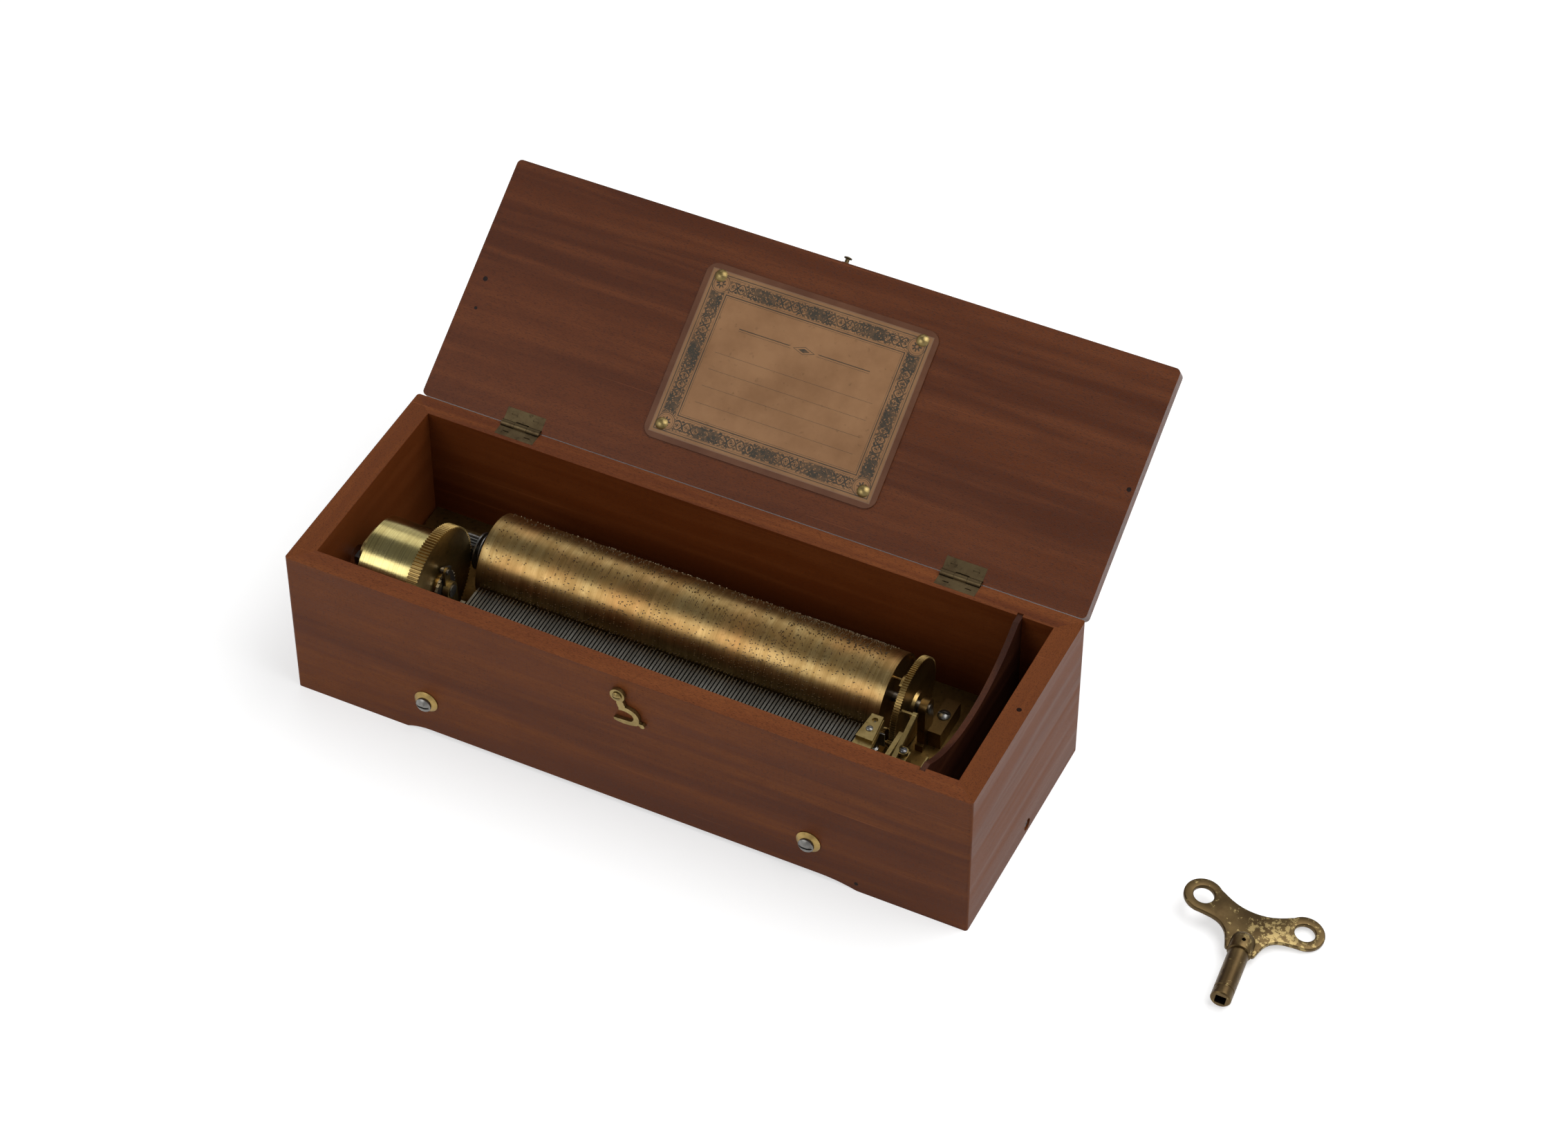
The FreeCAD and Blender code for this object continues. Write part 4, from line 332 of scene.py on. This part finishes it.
def worn_brass(name):
    """The key: brown with age, rubbed through to yellow where it is held."""
    f = Finish(name)
    clouds = f.cloud((55.0, 55.0, 55.0), 5.0, 0.6)
    crumbs = f.cloud((330.0, 330.0, 330.0), 5.0, 0.7)
    shade = f.blend(f.steps(clouds, (0.42, 0.0), (0.62, 1.0)), (0.078, 0.050, 0.022),
                    (0.120, 0.080, 0.034))
    near = f.sum("SUBTRACT", 1.0, f.sum("MULTIPLY", f.away(KEY_HELD), 34.0), clamp=True)
    rubbed = f.sum("ADD", crumbs, f.sum("MULTIPLY", near, 0.17))
    rubbed = f.steps(rubbed, (0.615, 0.0), (0.660, 0.85))
    shade = f.blend(rubbed, shade, (0.36, 0.27, 0.115))
    f.cut_in(crumbs, 0.00003)
    rough = f.sum("MULTIPLY_ADD", crumbs, 0.25, 0.27)
    return f.set(shade, rough, 1.0)


key_brass = worn_brass("key_brass")


# The open lid's angle and the corner it turns at, in metres.
LID_OPEN = math.radians(146.25)
LID_Y = 0.066
LID_Z = 0.090

# The card on the lid's inner face, in millimetres: its middle, up from that corner, half its
# size, and how far in from its edge the printed band runs.
CARD_X = 0.2
CARD_UP = 64.5
CARD_HALF_WIDE = 60.4
CARD_HALF_HIGH = 44.1
BAND_IN = 6.4


def printed_card(name):
    """The tune card: browned paper with a plain printed border and ruled lines, no lettering."""
    f = Finish(name)
    place = f.measured()
    across = f.sum("MULTIPLY", f.sum("ADD", place["X"], -CARD_X / 1000), 1000.0)
    back = f.sum("MULTIPLY", f.sum("ADD", place["Y"], -LID_Y), -1000.0 * math.cos(LID_OPEN))
    rise = f.sum("MULTIPLY", f.sum("ADD", place["Z"], -LID_Z), 1000.0 * math.sin(LID_OPEN))
    up = f.sum("ADD", f.sum("ADD", back, rise), -CARD_UP)
    far = f.sum("SUBTRACT", f.sum("ABSOLUTE", across), CARD_HALF_WIDE)
    high = f.sum("SUBTRACT", f.sum("ABSOLUTE", up), CARD_HALF_HIGH)
    edge = f.sum("MAXIMUM", far, high)

    def line(value, at, width):
        return f.sum("LESS_THAN", f.off(value, at), width / 2)

    def either(*marks):
        total = marks[0]
        for mark in marks[1:]:
            total = f.sum("MAXIMUM", total, mark)
        return total

    def both(a, b):
        return f.sum("MULTIPLY", a, b)

    def radius(a, b):
        return f.sum("SQRT", f.sum("ADD", f.sum("POWER", a, 2.0), f.sum("POWER", b, 2.0)))

    rules = either(line(edge, -1.6, 0.45), line(edge, -2.6, 0.16), line(edge, -10.2, 0.16),
                   line(edge, -11.2, 0.55), line(edge, -12.2, 0.16))
    side = f.sum("GREATER_THAN", far, high)
    run = f.sum("ADD", both(side, up), both(f.sum("SUBTRACT", 1.0, side), across))
    # The band: two strands plaited round a row of eyes, with leaves outside them.
    middle = f.sum("ADD", edge, BAND_IN)
    wave = f.sum("MULTIPLY", f.sum("SINE", f.sum("MULTIPLY", run, math.pi / 5.0)), 2.5)
    swell = f.sum("COSINE", f.sum("MULTIPLY", run, math.pi / 2.5))
    thick = f.sum("MULTIPLY_ADD", swell, 0.22, 0.5)
    strands = either(f.sum("LESS_THAN", f.off(middle, wave), thick),
                     f.sum("LESS_THAN", f.sum("ABSOLUTE", f.sum("ADD", middle, wave)), thick))
    cell = f.sum("SUBTRACT", f.sum("FRACT", f.sum("MULTIPLY", run, 0.2)), 0.5)
    eye = radius(f.sum("MULTIPLY", cell, 5.0), middle)
    eyes = either(f.sum("LESS_THAN", eye, 0.55), line(eye, 1.05, 0.22))
    leaf_run = f.sum("SUBTRACT", f.sum("FRACT", f.sum("MULTIPLY_ADD", run, 0.2, 0.5)), 0.5)
    leaf = f.sum("ADD", f.sum("ABSOLUTE", f.sum("MULTIPLY", leaf_run, 2.6)),
                 f.off(f.sum("ABSOLUTE", middle), 2.3))
    leaves = f.sum("LESS_THAN", leaf, 0.62)
    # Sprays of small leaves between the eyes, thick in the middle of each spray.
    spray = f.sum("COSINE", f.sum("MULTIPLY", run, math.pi / 15.0))
    growth = f.sum("MULTIPLY_ADD", spray, 0.075, f.cloud((900.0, 900.0, 900.0), 2.0, 0.6))
    growth = f.sum("SUBTRACT", growth, f.sum("MULTIPLY", f.sum("ABSOLUTE", middle), 0.014))
    foliage = f.sum("GREATER_THAN", growth, 0.475)
    band = both(f.sum("LESS_THAN", f.sum("ABSOLUTE", middle), 3.5),
                either(strands, eyes, leaves, foliage))
    # A rosette in each corner, which the band stops short of.
    corner_x = f.sum("ADD", far, BAND_IN)
    corner_y = f.sum("ADD", high, BAND_IN)
    spoke = f.sum("ARCTAN2", corner_x, corner_y)
    corner = radius(corner_x, corner_y)
    clear = f.sum("GREATER_THAN", corner, 5.0)
    petal = f.sum("MULTIPLY_ADD", f.sum("COSINE", f.sum("MULTIPLY", spoke, 8.0)), 0.75, 2.0)
    rosette = either(line(corner, 4.6, 0.35), line(corner, 3.7, 0.16),
                     both(f.sum("LESS_THAN", corner, petal), f.sum("GREATER_THAN", corner, 0.8)))
    # Four ruled lines for the tunes, and a double rule above them with a lozenge in it.
    page = f.sum("LESS_THAN", edge, -17.0)
    ruled = both(page, either(line(up, 3.5, 0.16), line(up, -5.5, 0.16), line(up, -14.5, 0.16),
                              line(up, -23.5, 0.16)))
    lozenge = f.sum("ADD", f.sum("ABSOLUTE", f.sum("MULTIPLY", across, 0.35)), f.off(up, 18.0))
    heading = either(f.sum("LESS_THAN", lozenge, 1.1), line(lozenge, 2.0, 0.25),
                     both(f.sum("GREATER_THAN", lozenge, 3.2),
                          both(f.sum("LESS_THAN", f.sum("ABSOLUTE", across), 36.0),
                               either(line(up, 18.4, 0.45), line(up, 17.3, 0.16)))))
    ink = either(rules, both(clear, band), rosette, ruled, heading)
    inside = f.sum("LESS_THAN", edge, -0.3)
    fade = f.cloud((240.0, 240.0, 240.0), 4.0, 0.65)
    ink = both(both(ink, inside), f.steps(fade, (0.30, 0.60), (0.55, 0.93)))
    clouds = f.cloud((38.0, 38.0, 38.0), 5.0, 0.6)
    fox = f.cloud((330.0, 330.0, 330.0), 2.0)
    paper = f.blend(f.steps(clouds, (0.36, 0.0), (0.66, 1.0)), (0.265, 0.138, 0.062),
                    (0.200, 0.098, 0.041))
    paper = f.blend(f.steps(fox, (0.66, 0.0), (0.76, 0.5)), paper, (0.12, 0.06, 0.025))
    handled = f.steps(f.sum("MULTIPLY_ADD", edge, 0.09, 1.0), (0.55, 0.0), (1.0, 0.30))
    paper = f.blend(handled, paper, (0.16, 0.095, 0.05))
    shade = f.blend(ink, paper, (0.026, 0.026, 0.020))
    # The clear film lies over the card and shows the wood, greyed, outside it.
    margin = f.sum("GREATER_THAN", edge, 0.0)
    rim = line(edge, 0.25, 0.5)
    beyond = f.blend(f.steps(clouds, (0.40, 0.0), (0.62, 1.0)), (0.110, 0.044, 0.021),
                     (0.085, 0.031, 0.014))
    beyond = f.blend(f.sum("MULTIPLY", rim, 0.5), beyond, (0.24, 0.15, 0.09))
    shade = f.blend(margin, shade, beyond)
    f.cut_in(f.cloud((60.0, 60.0, 60.0), 3.0), 0.00010)
    return f.set(shade, f.sum("MULTIPLY_ADD", fade, 0.20, 0.30), Specular_IOR_Level=0.30)


card = printed_card("tune_card_paper")

finishes = {
    "front_board": case_long, "back_board": case_long, "left_end_board": left_end,
    "right_end_board": right_end, "bottom_board": floor_wood, "lid_board": lid_wood,
    "partition": partition_wood, "partition_clip": brass_olive,
    "end_screw": steel_dark, "mounting_washers": brass, "mounting_screws": steel,
    "hinge_case_leaves": brass_dark, "hinge_lid_leaves": brass_dark, "hinge_pins": brass_dark,
    "hinge_case_screws": brass_dark, "hinge_lid_screws": brass_dark,
    "label_card": card, "label_film": card, "label_tacks": brass_olive, "lid_stud": brass_dark,
    "hook": brass_olive, "hook_screw": brass_olive,
    "barrel_drum": drum_brass, "barrel_great_wheel": brass, "mainspring": steel_dark,
    "barrel_arbor": steel, "ratchet_wheel": steel, "ratchet_click": steel, "click_screw": steel,
    "barrel_right_bridge": brass_olive, "barrel_left_bridge": brass_olive,
    "barrel_bridge_screws": steel, "cylinder": cylinder_brass, "cylinder_arbor": steel,
    "arbor_pinion": steel, "cylinder_great_wheel": brass_turned, "tune_snail": brass,
    "cylinder_spring": steel, "cylinder_left_bridge": brass_olive,
    "cylinder_right_bridge": brass_painted_shade, "cylinder_bridge_screws": steel, "comb": comb_steel,
    "comb_base": brass_dark, "comb_screws": steel_dark, "comb_weights": lead,
    "governor_frame": brass_olive, "governor_cap": brass_olive, "governor_cap_screw": steel,
    "governor_screws": steel, "worm_wheel": brass_turned, "endless_worm": steel,
    "lever_block": brass_olive, "stop_lever": brass_olive, "change_lever": brass_olive,
    "lever_screws": steel_dark, "bedplate": plate_brass, "winding_key": key_brass,
}
for name, thing in nodes.items():
    thing.data.materials.clear()
    thing.data.materials.append(finishes[name])


# The cylinder's pins, in metres: one pin is turned, and its copies are driven in tune by tune.
PIN_FOOT_R = 0.00034
PIN_TIP_R = 0.00023
PIN_LONG = 0.0006
PIN_MIDDLE = 0.0002
PIN_CROWN_IN = 0.00007
PIN_CROWN_UP = 0.00006
PIN_SUNK = 0.0001
FIRST_TOOTH = -0.10962
PITCH = 0.00196
TEETH = 108
TUNES = 4
TUNE_STEP = 0.00048
BEATS = 150


def one_pin():
    """A blunt six-sided pin with a crowned tip, its foot just below the cylinder's skin."""
    bpy.ops.mesh.primitive_cone_add(vertices=6, radius1=PIN_FOOT_R, radius2=PIN_TIP_R,
                                    depth=PIN_LONG, location=(0, 0, PIN_MIDDLE))
    pin = bpy.context.object
    bpy.ops.object.mode_set(mode="EDIT")
    bpy.ops.mesh.select_mode(type="FACE")
    bpy.ops.mesh.select_all(action="DESELECT")
    bpy.ops.object.mode_set(mode="OBJECT")
    for face in pin.data.polygons:
        face.select = face.normal.z > 0.9
    bpy.ops.object.mode_set(mode="EDIT")
    bpy.ops.mesh.inset(thickness=PIN_CROWN_IN)
    bpy.ops.transform.translate(value=(0, 0, PIN_CROWN_UP))
    bpy.ops.object.mode_set(mode="OBJECT")
    bpy.ops.object.transform_apply()
    return pin


low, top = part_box("cylinder")
axis_y, axis_z = (low.y + top.y) / 2, (low.z + top.z) / 2
reach = (top.z - low.z) / 2
pin = one_pin()
corners = [v.co.copy() for v in pin.data.vertices]
faces = [tuple(p.vertices) for p in pin.data.polygons]
bpy.data.objects.remove(pin)
points, shells, taken = [], [], set()
# Each tune wanders up and down the comb in chords, with a run of teeth now and then.
for tune in range(TUNES):
    root = random.randrange(20, 80)
    for beat in range(2, BEATS):
        root = min(94, max(12, root + random.choice((-7, -5, -3, -2, 0, 0, 2, 3, 5, 7))))
        struck = {root + random.choice((0, 3, 5, 8)) for _ in range(3)}
        struck |= {random.randrange(TEETH) for _ in range(random.randrange(2, 6))}
        if random.random() < 0.45:
            struck |= {min(TEETH - 1, root + 10 + k * 2) for k in range(random.randrange(3, 9))}
        for k, tooth in enumerate(sorted(struck)):
            turn = (beat + (0.17 * k if random.random() < 0.5 else 0.0)
                    + random.choice((0, 0, 0.25, 0.5))) / BEATS * 2 * math.pi
            spot = (tooth, tune, round(turn, 2))
            if tooth >= TEETH or spot in taken:
                continue
            taken.add(spot)
            x = FIRST_TOOTH + tooth * PITCH + (tune - (TUNES - 1) / 2) * TUNE_STEP
            seat = Matrix.Translation((x, axis_y, axis_z)) @ Matrix.Rotation(turn, 4, "X")
            seat = seat @ Matrix.Translation((0, 0, reach - PIN_SUNK))
            start = len(points)
            points += [seat @ c for c in corners]
            shells += [tuple(start + v for v in face) for face in faces]
pinning = bpy.data.meshes.new("cylinder_pins")
pinning.from_pydata(points, [], shells)
pins = bpy.data.objects.new("cylinder_pins", pinning)
bpy.context.scene.collection.objects.link(pins)
pins.data.materials.append(pin_steel)
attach(pins, "cylinder")

# The winding key, drawn flat in millimetres along its own shaft and then laid on the floor.
RING_UP = 12.6
RING_OUT = 25.5
RING_R = 9.8
BOW_THICK = 2.6
COLLAR_R = 6.1
EYE_R = 5.1
PIN_HOLE_R = 1.0
PIN_HOLE_ALONG = -8.7
SOCKET_WIDE = 5.3
SOCKET_DEEP = 15.0
SOCKET_MIDDLE = -36.5
KEY_TURN = 5.0
KEY_AT = (305.4, -13.8)
ROUNDING = 0.7
SEAM = 0.002
SLIVER = 0.02


def drawn_line(name, points):
    """One vertex is set down and pushed out from point to point."""
    put_down()
    bpy.ops.mesh.primitive_plane_add(size=0.001)
    line = bpy.context.object
    line.name = name
    bpy.ops.object.mode_set(mode="EDIT")
    bpy.ops.mesh.select_mode(type="VERT")
    bpy.ops.mesh.select_all(action="SELECT")
    bpy.ops.mesh.merge(type="CENTER")
    at, *rest = (Vector(point) / 1000 for point in points)
    bpy.ops.transform.translate(value=at)
    for to in rest:
        bpy.ops.mesh.extrude_vertices_move(TRANSFORM_OT_translate={"value": to - at})
        at = to
    return line


def bow_edge():
    """The bow's edge: two rings, a hollow back, and two lugs that hug the collar."""
    upper = [(0.0, 13.05), (3.0, 13.2), (6.0, 13.65), (9.0, 14.5), (12.0, 15.75), (14.6, 17.1),
             (16.6, 18.3)]
    ring = [(RING_OUT + RING_R * math.cos(math.radians(a)),
             RING_UP + RING_R * math.sin(math.radians(a))) for a in range(138, -97, -8)]
    lower = [(21.4, 2.45), (18.4, 2.05), (15.8, 1.3), (13.8, 0.25), (12.1, -1.1), (10.7, -2.8),
             (9.6, -4.8), (8.8, -7.2), (8.1, -9.6), (7.6, -11.4), (7.2, -12.2), (6.6, -12.7),
             (5.9, -12.7), (5.3, -12.2), (5.0, -11.4)]
    half = upper + ring + lower
    return half + [(-x, y) for x, y in reversed(half[1:])]


def take_away(body, tool, how="DIFFERENCE"):
    """Cuts the tool out of the body, or joins it on, and puts the tool away."""
    take_up(body)
    step = body.modifiers.new(how, "BOOLEAN")
    step.operation = how
    step.solver = "EXACT"
    step.object = tool
    bpy.ops.object.modifier_apply(modifier=step.name)
    bpy.data.objects.remove(tool)


def drill(x, y, radius):
    """A round tool that goes right through the key."""
    put_down()
    bpy.ops.mesh.primitive_cylinder_add(vertices=40, radius=radius / 1000, depth=0.04,
                                        location=(x / 1000, y / 1000, 0))
    return bpy.context.object


bow = drawn_line("bow", [(x, y, -BOW_THICK / 2) for x, y in bow_edge()])
bpy.ops.mesh.select_all(action="SELECT")
bpy.ops.mesh.edge_face_add()
bpy.ops.mesh.extrude_region_move(TRANSFORM_OT_translate={"value": (0, 0, BOW_THICK / 1000)})
bpy.ops.mesh.select_all(action="SELECT")
bpy.ops.mesh.normals_make_consistent(inside=False)
bpy.ops.object.mode_set(mode="OBJECT")
for side in (-1, 1):
    take_away(bow, drill(side * RING_OUT, RING_UP, EYE_R))
take_up(bow)
rounding = bow.modifiers.new("rounding", "BEVEL")
rounding.width = ROUNDING / 1000
rounding.segments = 3
rounding.limit_method = "ANGLE"
rounding.angle_limit = math.radians(50)
bpy.ops.object.modifier_apply(modifier=rounding.name)

shank = drawn_line("shank", [(r, y, 0) for r, y in (
    (0, -1.6), (2.5, -1.8), (4.3, -2.6), (5.5, -3.8), (6.0, -5.2), (COLLAR_R, -7.0),
    (COLLAR_R, -12.4), (5.9, -12.9), (4.8, -13.2), (4.8, -13.9), (5.15, -14.2), (5.15, -36.8),
    (4.85, -37.1), (4.85, -37.5), (5.15, -37.8), (5.15, -42.4), (4.6, -43.0), (0, -43.0))])
bpy.ops.mesh.select_all(action="SELECT")
bpy.ops.mesh.spin(steps=40, angle=2 * math.pi, center=(0, 0, 0), axis=(0, 1, 0))
bpy.ops.mesh.select_all(action="SELECT")
bpy.ops.mesh.remove_doubles(threshold=SEAM / 1000)
bpy.ops.mesh.normals_make_consistent(inside=False)
bpy.ops.object.mode_set(mode="OBJECT")
take_away(shank, bow, "UNION")
put_down()
bpy.ops.mesh.primitive_cube_add(size=1.0, location=(0, SOCKET_MIDDLE / 1000, 0))
square = bpy.context.object
square.scale = (SOCKET_WIDE / 1000, SOCKET_DEEP / 1000, SOCKET_WIDE / 1000)
bpy.ops.object.transform_apply(location=True, rotation=True, scale=True)
take_away(shank, square)
take_away(shank, drill(0, PIN_HOLE_ALONG, PIN_HOLE_R))
shank.name = "key_shaped"
# The cuts leave slivers, which would open the mesh where it is saved, so they are merged.
take_up(shank)
bpy.ops.object.mode_set(mode="EDIT")
bpy.ops.mesh.select_mode(type="VERT")
bpy.ops.mesh.select_all(action="SELECT")
bpy.ops.mesh.remove_doubles(threshold=SLIVER / 1000)
bpy.ops.mesh.dissolve_degenerate(threshold=SLIVER / 1000)
bpy.ops.mesh.quads_convert_to_tris()
bpy.ops.object.mode_set(mode="OBJECT")
# The key lies on its collar and one ring, so it is rolled about its shaft.
key_roll = math.asin((COLLAR_R - BOW_THICK / 2) / (RING_OUT + RING_R))
take_up(shank)
shank.matrix_world = (Matrix.Translation((KEY_AT[0] / 1000, KEY_AT[1] / 1000, COLLAR_R / 1000))
                      @ Matrix.Rotation(math.radians(KEY_TURN), 4, "Z")
                      @ Matrix.Rotation(key_roll, 4, "Y"))
bpy.ops.object.transform_apply(location=True, rotation=True, scale=True)
bpy.ops.object.shade_smooth_by_angle(angle=math.radians(32))
shank.data.materials.clear()
shank.data.materials.append(key_brass)
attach(shank, "key")
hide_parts("winding_key")

# The floor, pale and plain, and the room, pale low down and dim overhead.
PALE = (0.62, 0.62, 0.62, 1.0)
DIM = (0.13, 0.13, 0.13, 1.0)
FLOOR_GLOW = 0.52
bpy.ops.mesh.primitive_plane_add(size=12.0, location=(0, 0, -0.0001))
floor = bpy.context.object
floor.name = "floor"
f = Finish("pale_floor")
path = f.add("ShaderNodeLightPath")
seen = f.sum("MAXIMUM", f.sum("MAXIMUM", path.outputs["Is Camera Ray"],
                              path.outputs["Is Glossy Ray"]), path.outputs["Is Transmission Ray"])
f.feed(f.shader.inputs["Emission Strength"], f.sum("MULTIPLY", seen, FLOOR_GLOW))
f.shader.inputs["Emission Color"].default_value = (1, 1, 1, 1)
f.set(PALE, 1.0, Specular_IOR_Level=0.0)
floor.data.materials.append(f.material)

world = bpy.data.worlds.new("room")
bpy.context.scene.world = world
world.use_nodes = True
tree = world.node_tree
backing = tree.nodes["Background"]
where = tree.nodes.new("ShaderNodeTexCoord")
split = tree.nodes.new("ShaderNodeSeparateXYZ")
walls = tree.nodes.new("ShaderNodeValToRGB")
tree.links.new(where.outputs["Generated"], split.inputs[0])
tree.links.new(split.outputs["Z"], walls.inputs["Fac"])
tree.links.new(walls.outputs["Color"], backing.inputs["Color"])
for element, height, shade in zip(walls.color_ramp.elements, (0.30, 0.80), (PALE, DIM)):
    element.position = height
    element.color = shade


def soft_box(name, toward, far, wide, high, power):
    """A rectangular lamp that far out in one direction, facing the object."""
    lamp = bpy.data.lights.new(name, "AREA")
    lamp.shape = "RECTANGLE"
    lamp.size = wide
    lamp.size_y = high
    lamp.energy = power
    box = bpy.data.objects.new(name, lamp)
    toward = Vector(toward).normalized()
    box.location = toward * far
    box.rotation_euler = toward.to_track_quat("Z", "Y").to_euler()
    bpy.context.scene.collection.objects.link(box)


# The lamps: a weak one in front on the left that shines in the brass, the main one high up
# behind on the right, and a faint one behind on the left.
soft_box("front_box", (-0.45, -0.62, 0.64), 2.3, 1.7, 1.3, 15.0)
soft_box("main_box", (0.46, 0.24, 0.86), 2.2, 2.2, 1.8, 44.0)
soft_box("rear_box", (-0.40, 0.60, 0.70), 2.4, 1.2, 0.9, 3.0)

bpy.context.scene.view_settings.view_transform = "Standard"
